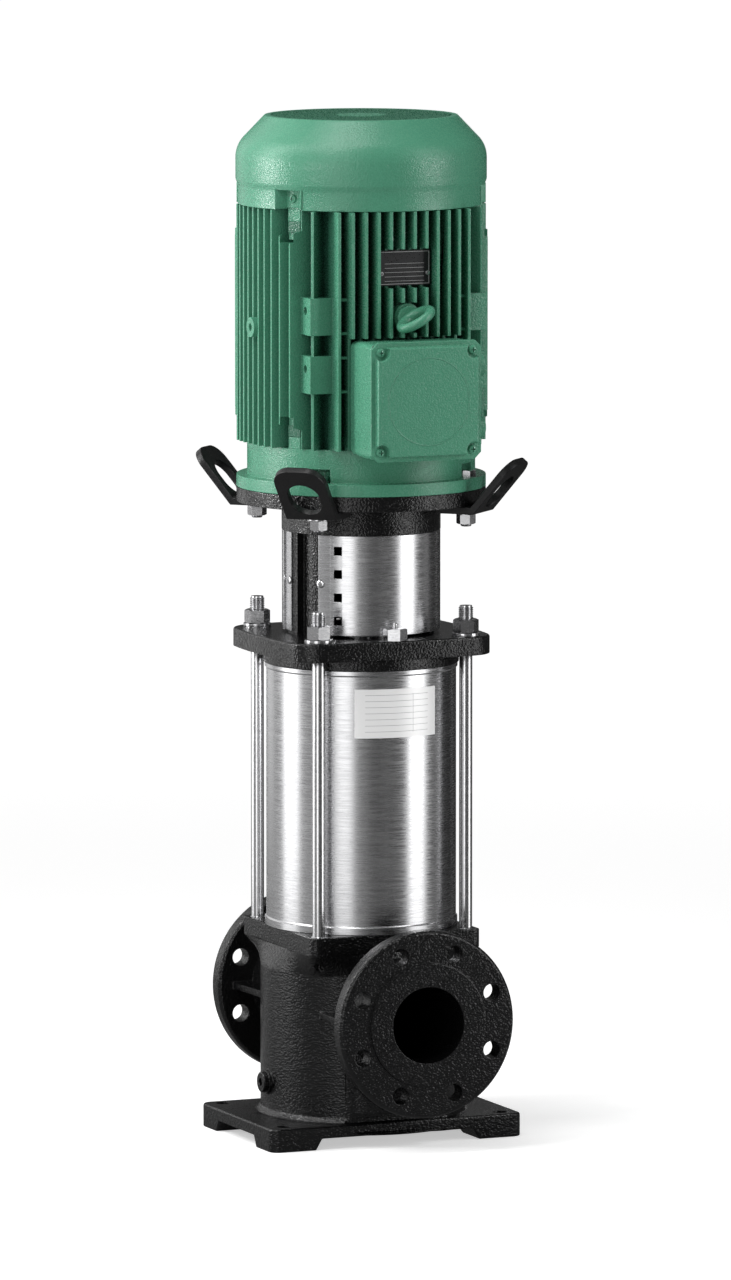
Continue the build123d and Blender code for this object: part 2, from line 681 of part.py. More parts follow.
# The lantern is one casting: head plate, two channelled columns, neck and motor flange.
with BuildPart() as lantern:
    with BuildSketch(Plane.XY.offset(COVER_TOP_Z)) as head_outline:
        with BuildLine():
            for side in (-1, 1):
                ThreePointArc(
                    (side * HEAD_CORNER_X, -HEAD_CORNER_Y), (side * HEAD_SIDE_X, 0),
                    (side * HEAD_CORNER_X, HEAD_CORNER_Y),
                )
                ThreePointArc(
                    (-HEAD_CORNER_X, side * HEAD_CORNER_Y), (0, side * HEAD_SIDE_Y),
                    (HEAD_CORNER_X, side * HEAD_CORNER_Y),
                )
        make_face()
        fillet(head_outline.vertices(), HEAD_CORNER_R)
    extrude(amount=HEAD_TOP_Z - COVER_TOP_Z)
    chamfer(lantern.faces().sort_by(Axis.Z)[-1].edges(), HEAD_EDGE)
    with BuildSketch(Plane.XY.offset(HEAD_TOP_Z)):
        for angle in COLUMN_ANGLES:
            add(sector(COLUMN_INNER_R, COLUMN_R, angle - COLUMN_HALF_ANGLE, angle + COLUMN_HALF_ANGLE))
            add(
                sector(CHANNEL_R, COLUMN_R + 1, angle - CHANNEL_HALF_ANGLE, angle + CHANNEL_HALF_ANGLE),
                mode=Mode.SUBTRACT,
            )
    extrude(amount=NECK_Z - HEAD_TOP_Z)
    with BuildSketch(Plane.XY.offset(NECK_Z)):
        Circle(NECK_R)
    extrude(amount=LANTERN_FLANGE_Z - NECK_Z)
    with BuildSketch(Plane.XY.offset(LANTERN_FLANGE_Z)):
        Circle(MOTOR_FLANGE_R)
    extrude(amount=LANTERN_TOP_Z - LANTERN_FLANGE_Z)
    with BuildSketch(Plane.XY.offset(NECK_Z)):
        Circle(LANTERN_BORE_R)
    extrude(amount=LANTERN_TOP_Z - NECK_Z, mode=Mode.SUBTRACT)
    with BuildSketch(Plane.XY.offset(COVER_TOP_Z)):
        Circle(SEAL_SPIGOT_R)
        with Locations(*square_points(ROD_POS, ROD_POS)):
            Circle(ROD_HOLE_R)
    extrude(amount=HEAD_TOP_Z - COVER_TOP_Z, mode=Mode.SUBTRACT)
    with BuildSketch(Plane.XY.offset(HEAD_TOP_Z)):
        with Locations((VENT_X, VENT_Y)):
            Circle(VENT_THREAD_R)
        with PolarLocations(SEAL_COVER_PCD_R, 4, start_angle=45):
            Circle(SEAL_SCREW_R)
    extrude(amount=-SEAL_SCREW_DEPTH, mode=Mode.SUBTRACT)
    with BuildSketch(Plane.XY.offset(LANTERN_FLANGE_Z)):
        with Locations(*square_points(ROD_POS, ROD_POS)):
            Circle(FLANGE_BOLT_R)
    extrude(amount=LANTERN_TOP_Z - LANTERN_FLANGE_Z, mode=Mode.SUBTRACT)
    for guard_angle in GUARD_ANGLES:
        for side in (-1, 1):
            angle = guard_angle + side * GUARD_SCREW_ANGLE
            with BuildSketch(radial_plane(angle, COLUMN_R + 1, GUARD_SCREW_Z)):
                Circle(GUARD_SCREW_R)
            extrude(amount=-GUARD_SCREW_DEPTH - 1, mode=Mode.SUBTRACT)
save(lantern, "lantern")

# Four tie rods clamp the cover and the barrel down on the casing deck.
with BuildPart() as tie_rods:
    with BuildSketch(Plane.XY.offset(DECK_Z - ROD_DEPTH)):
        with Locations(*square_points(ROD_POS, ROD_POS)):
            Circle(ROD_THREAD_R)
    extrude(amount=ROD_DEPTH)
    with BuildSketch(Plane.XY.offset(DECK_Z)):
        with Locations(*square_points(ROD_POS, ROD_POS)):
            Circle(ROD_R)
    extrude(amount=ROD_THREAD_Z - DECK_Z)
    with BuildSketch(Plane.XY.offset(ROD_THREAD_Z)):
        with Locations(*square_points(ROD_POS, ROD_POS)):
            Circle(ROD_THREAD_R)
    extrude(amount=ROD_TOP_Z - ROD_THREAD_Z)
    chamfer(tie_rods.faces().filter_by(Plane.XY).group_by(Axis.Z)[-1].edges(), 1.2)
save(tie_rods, "tie_rods")

with BuildPart() as tie_rod_nuts:
    with BuildSketch(Plane.XY.offset(HEAD_TOP_Z + ROD_WASHER_T)):
        with Locations(*square_points(ROD_POS, ROD_POS)):
            RegularPolygon(ROD_NUT_AF / 2, 6, major_radius=False)
            Circle(ROD_THREAD_R, mode=Mode.SUBTRACT)
    extrude(amount=ROD_NUT_T)
save(tie_rod_nuts, "tie_rod_nuts")

# The vent plug is a hex body whose small bleed screw turns in a threaded bore.
with BuildPart() as vent_plug:
    with BuildSketch(Plane.XY.offset(HEAD_TOP_Z - SEAL_SCREW_DEPTH)):
        with Locations((VENT_X, VENT_Y)):
            Circle(VENT_THREAD_R)
    extrude(amount=SEAL_SCREW_DEPTH)
    with BuildSketch(Plane.XY.offset(HEAD_TOP_Z)):
        with Locations((VENT_X, VENT_Y)):
            RegularPolygon(VENT_AF / 2, 6, major_radius=False)
    extrude(amount=VENT_HEIGHT)
    with BuildSketch(Plane.XY.offset(HEAD_TOP_Z)):
        with Locations((VENT_X, VENT_Y)):
            Circle(BLEED_R + BLEED_GAP)
    extrude(amount=VENT_HEIGHT, mode=Mode.SUBTRACT)
save(vent_plug, "vent_plug")

with BuildPart() as bleed_screw:
    with BuildSketch(Plane.XY.offset(HEAD_TOP_Z + 0.5)):
        with Locations((VENT_X, VENT_Y)):
            Circle(BLEED_R)
    extrude(amount=BLEED_HEAD_Z - HEAD_TOP_Z - 0.5)
    with BuildSketch(Plane.XY.offset(BLEED_HEAD_Z)):
        with Locations((VENT_X, VENT_Y)):
            Rectangle(1, 3 * BLEED_R)
    extrude(amount=-1.5, mode=Mode.SUBTRACT)
save(bleed_screw, "bleed_screw")

# Two bent stainless guards close the lantern windows; their folded ends sit on the columns.
for name, guard_angle in zip(("guard_front", "guard_back"), GUARD_ANGLES):
    bend_angle = GUARD_HALF_ANGLE - GUARD_FOLD_ANGLE
    with BuildPart() as guard:
        with BuildSketch(Plane.XY.offset(GUARD_BOTTOM_Z)):
            add(sector(GUARD_R - GUARD_T, GUARD_R, guard_angle - bend_angle, guard_angle + bend_angle))
            for side in (-1, 1):
                inner, outer = sorted((side * bend_angle, side * GUARD_HALF_ANGLE))
                add(sector(COLUMN_R, COLUMN_R + GUARD_T, guard_angle + inner, guard_angle + outer))
                inner, outer = sorted((side * (bend_angle - 1), side * bend_angle))
                add(sector(COLUMN_R, GUARD_R, guard_angle + inner, guard_angle + outer))
        extrude(amount=NECK_Z - GUARD_BOTTOM_Z)
        for z in GUARD_SLOT_Z:
            with BuildSketch(radial_plane(guard_angle - GUARD_SLOT_ANGLE, GUARD_R + 1, z)):
                Rectangle(GUARD_SLOT_SIZE, GUARD_SLOT_SIZE)
            extrude(amount=-3 * GUARD_T, mode=Mode.SUBTRACT)
        for side in (-1, 1):
            angle = guard_angle + side * GUARD_SCREW_ANGLE
            with BuildSketch(radial_plane(angle, COLUMN_R + 2 * GUARD_T, GUARD_SCREW_Z)):
                Circle(GUARD_SCREW_R)
            extrude(amount=-3 * GUARD_T, mode=Mode.SUBTRACT)
    save(guard, name)

with BuildPart() as guard_screws:
    for guard_angle in GUARD_ANGLES:
        for side in (-1, 1):
            angle = guard_angle + side * GUARD_SCREW_ANGLE
            with BuildSketch(radial_plane(angle, COLUMN_R - GUARD_SCREW_DEPTH, GUARD_SCREW_Z)):
                Circle(GUARD_SCREW_R)
            extrude(amount=GUARD_SCREW_DEPTH + GUARD_T + 0.2)
            with BuildSketch(radial_plane(angle, COLUMN_R + GUARD_T + 0.2, GUARD_SCREW_Z)):
                Circle(GUARD_SCREW_HEAD_R)
            extrude(amount=GUARD_SCREW_HEAD_T, taper=25)
save(guard_screws, "guard_screws")

# The bearing carrier stands on the deck under the stages and holds the lower shaft bush.
with BuildPart() as bearing_carrier:
    with BuildSketch(Plane.XY.offset(DECK_Z)):
        Circle(STAGE_R)
        Circle(CARRIER_RIM_R, mode=Mode.SUBTRACT)
    extrude(amount=STAGE_Z - DECK_Z)
    with BuildSketch(Plane.XY.offset(PUMP_SHAFT_Z)):
        Rectangle(2 * CARRIER_RIM_R + 2, CARRIER_ARM_T)
        Rectangle(CARRIER_ARM_T, 2 * CARRIER_RIM_R + 2)
        Circle(CARRIER_HUB_R)
        Circle(CARRIER_BUSH_R, mode=Mode.SUBTRACT)
    extrude(amount=STAGE_Z - PUMP_SHAFT_Z)
save(bearing_carrier, "bearing_carrier")

with BuildPart() as bearing_bush:
    with BuildSketch(Plane.XY.offset(PUMP_SHAFT_Z)):
        Circle(CARRIER_BUSH_R)
        Circle(PUMP_SHAFT_R + RUNNING_GAP, mode=Mode.SUBTRACT)
    extrude(amount=STAGE_Z - PUMP_SHAFT_Z)
save(bearing_bush, "bearing_bush")

# Each stage casing is a pressed cup with a diffuser plate and return vanes over its impeller.
for stage in range(STAGES):
    floor_z = STAGE_Z + stage * STAGE_PITCH
    with BuildPart() as stage_casing:
        with BuildSketch(Plane.XY.offset(floor_z)):
            Circle(STAGE_R)
            Circle(STAGE_R - STAGE_WALL, mode=Mode.SUBTRACT)
        extrude(amount=STAGE_PITCH)
        with BuildSketch(Plane.XY.offset(floor_z)):
            Circle(STAGE_R - STAGE_WALL)
            Circle(STAGE_EYE_R, mode=Mode.SUBTRACT)
        extrude(amount=STAGE_WALL)
        with BuildSketch(Plane.XY.offset(floor_z + DIFFUSER_Z)):
            with PolarLocations(0, RETURN_VANES):
                add(curved_vane(DIFFUSER_HUB_R - 1, STAGE_R - STAGE_WALL, RETURN_SWEEP, RETURN_VANE_T))
        extrude(amount=STAGE_PITCH - DIFFUSER_Z)
        with BuildSketch(Plane.XY.offset(floor_z + DIFFUSER_Z)):
            Circle(DIFFUSER_R)
        extrude(amount=DIFFUSER_T)
        with BuildSketch(Plane.XY.offset(floor_z + DIFFUSER_Z)):
            Circle(DIFFUSER_HUB_R)
        extrude(amount=STAGE_PITCH - DIFFUSER_Z - DIFFUSER_HUB_DROP)
        with BuildSketch(Plane.XY.offset(floor_z + DIFFUSER_Z)):
            Circle(DIFFUSER_BORE_R)
        extrude(amount=STAGE_PITCH - DIFFUSER_Z, mode=Mode.SUBTRACT)
    save(stage_casing, f"stage_casing_{stage + 1}")

    # The impeller is a closed wheel; its long hub spaces it from the wheel above.
    with BuildPart() as impeller:
        with BuildSketch(Plane.XY.offset(floor_z + IMPELLER_FRONT_Z)):
            with PolarLocations(0, IMPELLER_VANES):
                add(curved_vane(IMPELLER_HUB_R, IMPELLER_R - 1, -IMPELLER_SWEEP, IMPELLER_VANE_T))
        extrude(amount=IMPELLER_BACK_Z - IMPELLER_FRONT_Z)
        with BuildSketch(Plane.XZ):
            with Locations((0, floor_z)):
                Polygon(
                    (IMPELLER_EYE_R, 0), (IMPELLER_R + 2, 0), (IMPELLER_R + 2, IMPELLER_RIM_Z),
                    (IMPELLER_R, IMPELLER_RIM_Z), (IMPELLER_EYE_R, IMPELLER_FRONT_Z),
                    align=None,
                )
        revolve(axis=Axis.Z, mode=Mode.SUBTRACT)
        with BuildSketch(Plane.XZ):
            with Locations((0, floor_z)):
                Polygon(
                    (IMPELLER_EYE_R, 0.5), (IMPELLER_NECK_R, 0.5),
                    (IMPELLER_NECK_R, IMPELLER_FRONT_Z - IMPELLER_SHROUD_T + 1),
                    (IMPELLER_R, IMPELLER_RIM_Z - IMPELLER_SHROUD_T), (IMPELLER_R, IMPELLER_RIM_Z),
                    (IMPELLER_EYE_R, IMPELLER_FRONT_Z),
                    align=None,
                )
                Polygon(
                    (PUMP_SHAFT_R, IMPELLER_HUB_Z), (IMPELLER_HUB_R, IMPELLER_HUB_Z),
                    (IMPELLER_HUB_R, IMPELLER_BACK_Z), (IMPELLER_R, IMPELLER_BACK_Z),
                    (IMPELLER_R, IMPELLER_BACK_Z + IMPELLER_SHROUD_T),
                    (IMPELLER_HUB_R, IMPELLER_BACK_Z + IMPELLER_SHROUD_T),
                    (IMPELLER_HUB_R, IMPELLER_HUB_Z + STAGE_PITCH),
                    (PUMP_SHAFT_R, IMPELLER_HUB_Z + STAGE_PITCH),
                    align=None,
                )
        revolve(axis=Axis.Z)
    save(impeller, f"impeller_{stage + 1}")

STACK_TOP_Z = STAGE_Z + STAGES * STAGE_PITCH
HUBS_TOP_Z = STACK_TOP_Z + IMPELLER_HUB_Z

# The clamp spider presses the stages down; water leaves between its feet.
with BuildPart() as clamp_spider:
    with BuildSketch(Plane.XY.offset(STACK_TOP_Z)):
        Circle(STAGE_R)
        Circle(SPIDER_INNER_R, mode=Mode.SUBTRACT)
    extrude(amount=SPIDER_RIM_T)
    with BuildSketch(Plane.XY.offset(STACK_TOP_Z + SPIDER_RIM_T)):
        with PolarLocations((STAGE_R + SPIDER_INNER_R) / 2, SPIDER_FEET):
            Rectangle(STAGE_R - SPIDER_INNER_R - 2, SPIDER_FOOT_WIDTH)
    extrude(amount=SLEEVE_TOP_Z - STACK_TOP_Z - SPIDER_RIM_T)
save(clamp_spider, "clamp_spider")

# The pump shaft carries the impellers between a collar below and a nut above.
with BuildPart() as pump_shaft:
    with BuildSketch(Plane.XY.offset(PUMP_SHAFT_Z)):
        Circle(PUMP_SHAFT_R)
    extrude(amount=PUMP_SHAFT_TOP_Z - PUMP_SHAFT_Z)
    with BuildSketch(Plane.XY.offset(SHAFT_COLLAR_Z)):
        Circle(SHAFT_COLLAR_R)
    extrude(amount=STAGE_Z + IMPELLER_HUB_Z - SHAFT_COLLAR_Z)
save(pump_shaft, "pump_shaft")

with BuildPart() as shaft_nut:
    with BuildSketch(Plane.XY.offset(HUBS_TOP_Z)):
        RegularPolygon(SHAFT_NUT_AF / 2, 6, major_radius=False)
        Circle(PUMP_SHAFT_R, mode=Mode.SUBTRACT)
    extrude(amount=SHAFT_NUT_T)
save(shaft_nut, "shaft_nut")

# The shaft seal: a rotating head under a fixed seat, which the bolted seal cover holds.
with BuildPart() as seal_head:
    with BuildSketch(Plane.XY.offset(HUBS_TOP_Z + SHAFT_NUT_T)):
        Circle(SEAL_HEAD_R)
    extrude(amount=SEAL_BODY_Z - HUBS_TOP_Z - SHAFT_NUT_T)
    with BuildSketch(Plane.XY.offset(SEAL_BODY_Z)):
        Circle(SEAL_FACE_R)
    extrude(amount=SEAL_FACE_Z - SEAL_BODY_Z - RUNNING_GAP)
    with BuildSketch(Plane.XY.offset(HUBS_TOP_Z)):
        Circle(PUMP_SHAFT_R)
    extrude(amount=SEAL_FACE_Z - HUBS_TOP_Z, mode=Mode.SUBTRACT)
save(seal_head, "seal_head")

with BuildPart() as seal_seat:
    with BuildSketch(Plane.XY.offset(SEAL_FACE_Z)):
        Circle(SEAT_R)
        Circle(SEAL_BORE_R, mode=Mode.SUBTRACT)
    extrude(amount=SEAT_TOP_Z - SEAL_FACE_Z)
save(seal_seat, "seal_seat")

with BuildPart() as seal_cover:
    with BuildSketch(Plane.XY.offset(SEAL_FACE_Z)):
        Circle(SEAL_SPIGOT_R)
    extrude(amount=HEAD_TOP_Z - SEAL_FACE_Z)
    with BuildSketch(Plane.XY.offset(HEAD_TOP_Z)):
        Circle(SEAL_COVER_R)
    extrude(amount=SEAL_COVER_T)
    chamfer(seal_cover.faces().sort_by(Axis.Z)[-1].edges(), 1)
    with BuildSketch(Plane.XY.offset(SEAL_FACE_Z)):
        Circle(SEAT_R)
    extrude(amount=SEAT_TOP_Z - SEAL_FACE_Z, mode=Mode.SUBTRACT)
    with BuildSketch(Plane.XY.offset(SEAL_FACE_Z)):
        Circle(SEAL_BORE_R)
    extrude(amount=HEAD_TOP_Z + SEAL_COVER_T - SEAL_FACE_Z, mode=Mode.SUBTRACT)
    with BuildSketch(Plane.XY.offset(HEAD_TOP_Z)):
        with PolarLocations(SEAL_COVER_PCD_R, 4, start_angle=45):
            Circle(SEAL_SCREW_R)
    extrude(amount=SEAL_COVER_T, mode=Mode.SUBTRACT)
save(seal_cover, "seal_cover")

with BuildPart() as seal_cover_screws:
    with BuildSketch(Plane.XY.offset(HEAD_TOP_Z - SEAL_SCREW_DEPTH)):
        with PolarLocations(SEAL_COVER_PCD_R, 4, start_angle=45):
            Circle(SEAL_SCREW_R)
    extrude(amount=SEAL_SCREW_DEPTH + SEAL_COVER_T)
    with BuildSketch(Plane.XY.offset(HEAD_TOP_Z + SEAL_COVER_T)):
        with PolarLocations(SEAL_COVER_PCD_R, 4, start_angle=45):
            Circle(SEAL_SCREW_HEAD_R)
            RegularPolygon(2.9, 6, mode=Mode.SUBTRACT)
    extrude(amount=SEAL_SCREW_HEAD_T)
save(seal_cover_screws, "seal_cover_screws")

# The split coupling clamps both shafts; its front half has the counterbores.
with BuildPart() as coupling_halves:
    with BuildSketch(Plane.XY.offset(COUPLING_Z)):
        Circle(COUPLING_R)
    extrude(amount=COUPLING_TOP_Z - COUPLING_Z)
    chamfer(coupling_halves.edges().filter_by(GeomType.CIRCLE), 1.5)
    with BuildSketch(Plane.XY.offset(COUPLING_Z)):
        Circle(PUMP_SHAFT_R)
        Rectangle(2 * COUPLING_R, COUPLING_SPLIT)
    extrude(amount=(COUPLING_TOP_Z - COUPLING_Z) / 2, mode=Mode.SUBTRACT)
    with BuildSketch(Plane.XY.offset((COUPLING_TOP_Z + COUPLING_Z) / 2)):
        Circle(MOTOR_SHAFT_R)
        Rectangle(2 * COUPLING_R, COUPLING_SPLIT)
    extrude(amount=(COUPLING_TOP_Z - COUPLING_Z) / 2, mode=Mode.SUBTRACT)
    for z in COUPLING_SCREW_Z:
        screw_plane = Plane(origin=(0, COUPLING_HEAD_Y, z), x_dir=(1, 0, 0), z_dir=(0, -1, 0))
        with BuildSketch(screw_plane):
            with Locations((-COUPLING_SCREW_X, 0), (COUPLING_SCREW_X, 0)):
                Circle(COUPLING_SCREW_R)
        extrude(amount=2 * COUPLING_HEAD_Y, mode=Mode.SUBTRACT)
        with BuildSketch(screw_plane.offset(2 * COUPLING_HEAD_Y)):
            with Locations((-COUPLING_SCREW_X, 0), (COUPLING_SCREW_X, 0)):
                Circle(COUPLING_HEAD_R)
        extrude(amount=COUPLING_R, mode=Mode.SUBTRACT)
save(coupling_halves, "coupling_halves")

with BuildPart() as coupling_screws:
    for z in COUPLING_SCREW_Z:
        with BuildSketch(Plane(origin=(0, COUPLING_HEAD_Y, z), x_dir=(1, 0, 0), z_dir=(0, -1, 0))):
            with Locations((-COUPLING_SCREW_X, 0), (COUPLING_SCREW_X, 0)):
                Circle(COUPLING_SCREW_R)
        extrude(amount=2 * COUPLING_HEAD_Y)
        with BuildSketch(Plane(origin=(0, -COUPLING_HEAD_Y, z), x_dir=(1, 0, 0), z_dir=(0, -1, 0))):
            with Locations((-COUPLING_SCREW_X, 0), (COUPLING_SCREW_X, 0)):
                Circle(COUPLING_HEAD_R)
                RegularPolygon(3.5, 6, mode=Mode.SUBTRACT)
        extrude(amount=COUPLING_HEAD_T)
save(coupling_screws, "coupling_screws")

# The rating label is a bare foil strip on the front of the barrel, near its top.
with BuildPart() as rating_label:
    label_r = SLEEVE_R + LABEL_GAP
    with BuildSketch(Plane.XY.offset(LABEL_Z)):
        add(sector(label_r, label_r + LABEL_T, 270 - LABEL_ANGLE / 2, 270 + LABEL_ANGLE / 2))
    extrude(amount=LABEL_HEIGHT)
save(rating_label, "rating_label")

# Four bent lugs hang under the lantern flange on the motor bolts.
with BuildPart() as lifting_lugs:
    with BuildPart(mode=Mode.PRIVATE) as lug:
        with BuildSketch(Plane.XY.offset(LANTERN_FLANGE_Z - LUG_T)):
            with Locations(((LUG_INNER_R + LUG_BEND_R) / 2, 0)):
                Rectangle(LUG_BEND_R - LUG_INNER_R, LUG_WIDTH)
        extrude(amount=LUG_T)
        slope = Plane(
            origin=(LUG_BEND_R, 0, LANTERN_FLANGE_Z - LUG_T),
            x_dir=(cos(radians(LUG_ANGLE)), 0, sin(radians(LUG_ANGLE))),
            z_dir=(-sin(radians(LUG_ANGLE)), 0, cos(radians(LUG_ANGLE))),
        )
        with BuildSketch(slope) as leaf:
            with Locations((LUG_LENGTH / 2, 0)):
                Rectangle(LUG_LENGTH, LUG_WIDTH)
            fillet(leaf.vertices().group_by(Axis.X)[-1], LUG_CORNER_R)
            with Locations((LUG_HOLE_S, 0)):
                SlotOverall(LUG_HOLE_LENGTH, LUG_HOLE_WIDTH, mode=Mode.SUBTRACT)
        extrude(amount=LUG_T)
        with BuildSketch(Plane.XY.offset(LANTERN_FLANGE_Z - LUG_T)):
            with Locations((sqrt(2) * ROD_POS, 0)):
                Circle(FLANGE_BOLT_R)
        extrude(amount=LUG_T, mode=Mode.SUBTRACT)
    with PolarLocations(0, 4, start_angle=45):
        add(lug)
save(lifting_lugs, "lifting_lugs")

# Motor bolts drop through both flanges and the lugs; washers and nuts close them below.
with BuildPart() as flange_bolts:
    with BuildSketch(Plane.XY.offset(FLANGE_BOLT_Z)):
        with Locations(*square_points(ROD_POS, ROD_POS)):
            Circle(FLANGE_BOLT_R)
    extrude(amount=SHIELD_FLANGE_Z - FLANGE_BOLT_Z)
    with BuildSketch(Plane.XY.offset(SHIELD_FLANGE_Z)):
        with Locations(*square_points(ROD_POS, ROD_POS)):
            RegularPolygon(FLANGE_BOLT_AF / 2, 6, major_radius=False)
    extrude(amount=FLANGE_BOLT_HEAD_T)
save(flange_bolts, "flange_bolts")

with BuildPart() as washers:
    for z, radius, hole_r, thickness in (
        (HEAD_TOP_Z, ROD_WASHER_R, ROD_THREAD_R, ROD_WASHER_T),
        (LANTERN_FLANGE_Z - LUG_T, FLANGE_WASHER_R, FLANGE_BOLT_R, -FLANGE_WASHER_T),
    ):
        with BuildSketch(Plane.XY.offset(z)):
            with Locations(*square_points(ROD_POS, ROD_POS)):
                Circle(radius)
                Circle(hole_r, mode=Mode.SUBTRACT)
        extrude(amount=thickness)
save(washers, "washers")

with BuildPart() as flange_nuts:
    with BuildSketch(Plane.XY.offset(LANTERN_FLANGE_Z - LUG_T - FLANGE_WASHER_T)):
        with Locations(*square_points(ROD_POS, ROD_POS)):
            RegularPolygon(FLANGE_BOLT_AF / 2, 6, major_radius=False)
            Circle(FLANGE_BOLT_R, mode=Mode.SUBTRACT)
    extrude(amount=-FLANGE_NUT_T)
save(flange_nuts, "flange_nuts")

# The drive-end shield joins flange and bell; four ears on it carry the frame.
with BuildPart() as drive_shield:
    with BuildSketch(Plane.XY.offset(LANTERN_TOP_Z)):
        Circle(MOTOR_FLANGE_R)
    extrude(amount=SHIELD_FLANGE_Z - LANTERN_TOP_Z)
    with BuildSketch(Plane.XY.offset(LANTERN_TOP_Z)):
        Circle(LANTERN_BORE_R)
    extrude(amount=-SHIELD_SPIGOT_T)
    with BuildSketch(Plane.XY.offset(SHIELD_FLANGE_Z)):
        Circle(BELL_R)
        Circle(BELL_INNER_R, mode=Mode.SUBTRACT)
    extrude(amount=BELL_TOP_Z - SHIELD_FLANGE_Z)
    with BuildSketch(Plane.XY.offset(SHIELD_FLANGE_Z)):
        Circle(DRIVE_HUB_R)
    extrude(amount=DRIVE_BEARING_T)
    with BuildSketch(Plane.XY.offset(SHIELD_FLANGE_Z)):
        Circle(DRIVE_BEARING_R)
    extrude(amount=DRIVE_BEARING_T, mode=Mode.SUBTRACT)
    with BuildSketch(Plane.XY.offset(LANTERN_TOP_Z - SHIELD_SPIGOT_T)):
        Circle(SHIELD_SHAFT_R)
    extrude(amount=SHIELD_FLANGE_Z - LANTERN_TOP_Z + SHIELD_SPIGOT_T, mode=Mode.SUBTRACT)
    with BuildSketch(Plane.XY.offset(SHIELD_FLANGE_Z)):
        with Locations(*square_points(ROD_POS, ROD_POS)):
            Circle(BOLT_POCKET_R)
    extrude(amount=BOLT_POCKET_Z - SHIELD_FLANGE_Z, mode=Mode.SUBTRACT)
    with BuildSketch(Plane.XY.offset(LANTERN_TOP_Z)):
        with Locations(*square_points(ROD_POS, ROD_POS)):
            Circle(FLANGE_BOLT_R)
    extrude(amount=SHIELD_FLANGE_Z - LANTERN_TOP_Z, mode=Mode.SUBTRACT)
    for angle in EAR_ANGLES:
        with BuildSketch(radial_plane(angle, EAR_ROOT_R, (LOWER_EAR_Z + LOWER_JOINT_Z) / 2)):
            Rectangle(EAR_WIDTH, LOWER_JOINT_Z - LOWER_EAR_Z)
        extrude(amount=EAR_R - EAR_ROOT_R)
    with BuildSketch(Plane.XY.offset(LOWER_JOINT_Z)):
        with Locations(*ring_points(EAR_SCREW_POS_R, EAR_ANGLES)):
            Circle(EAR_SCREW_R)
    extrude(amount=-EAR_SCREW_DEPTH, mode=Mode.SUBTRACT)
save(drive_shield, "drive_shield")

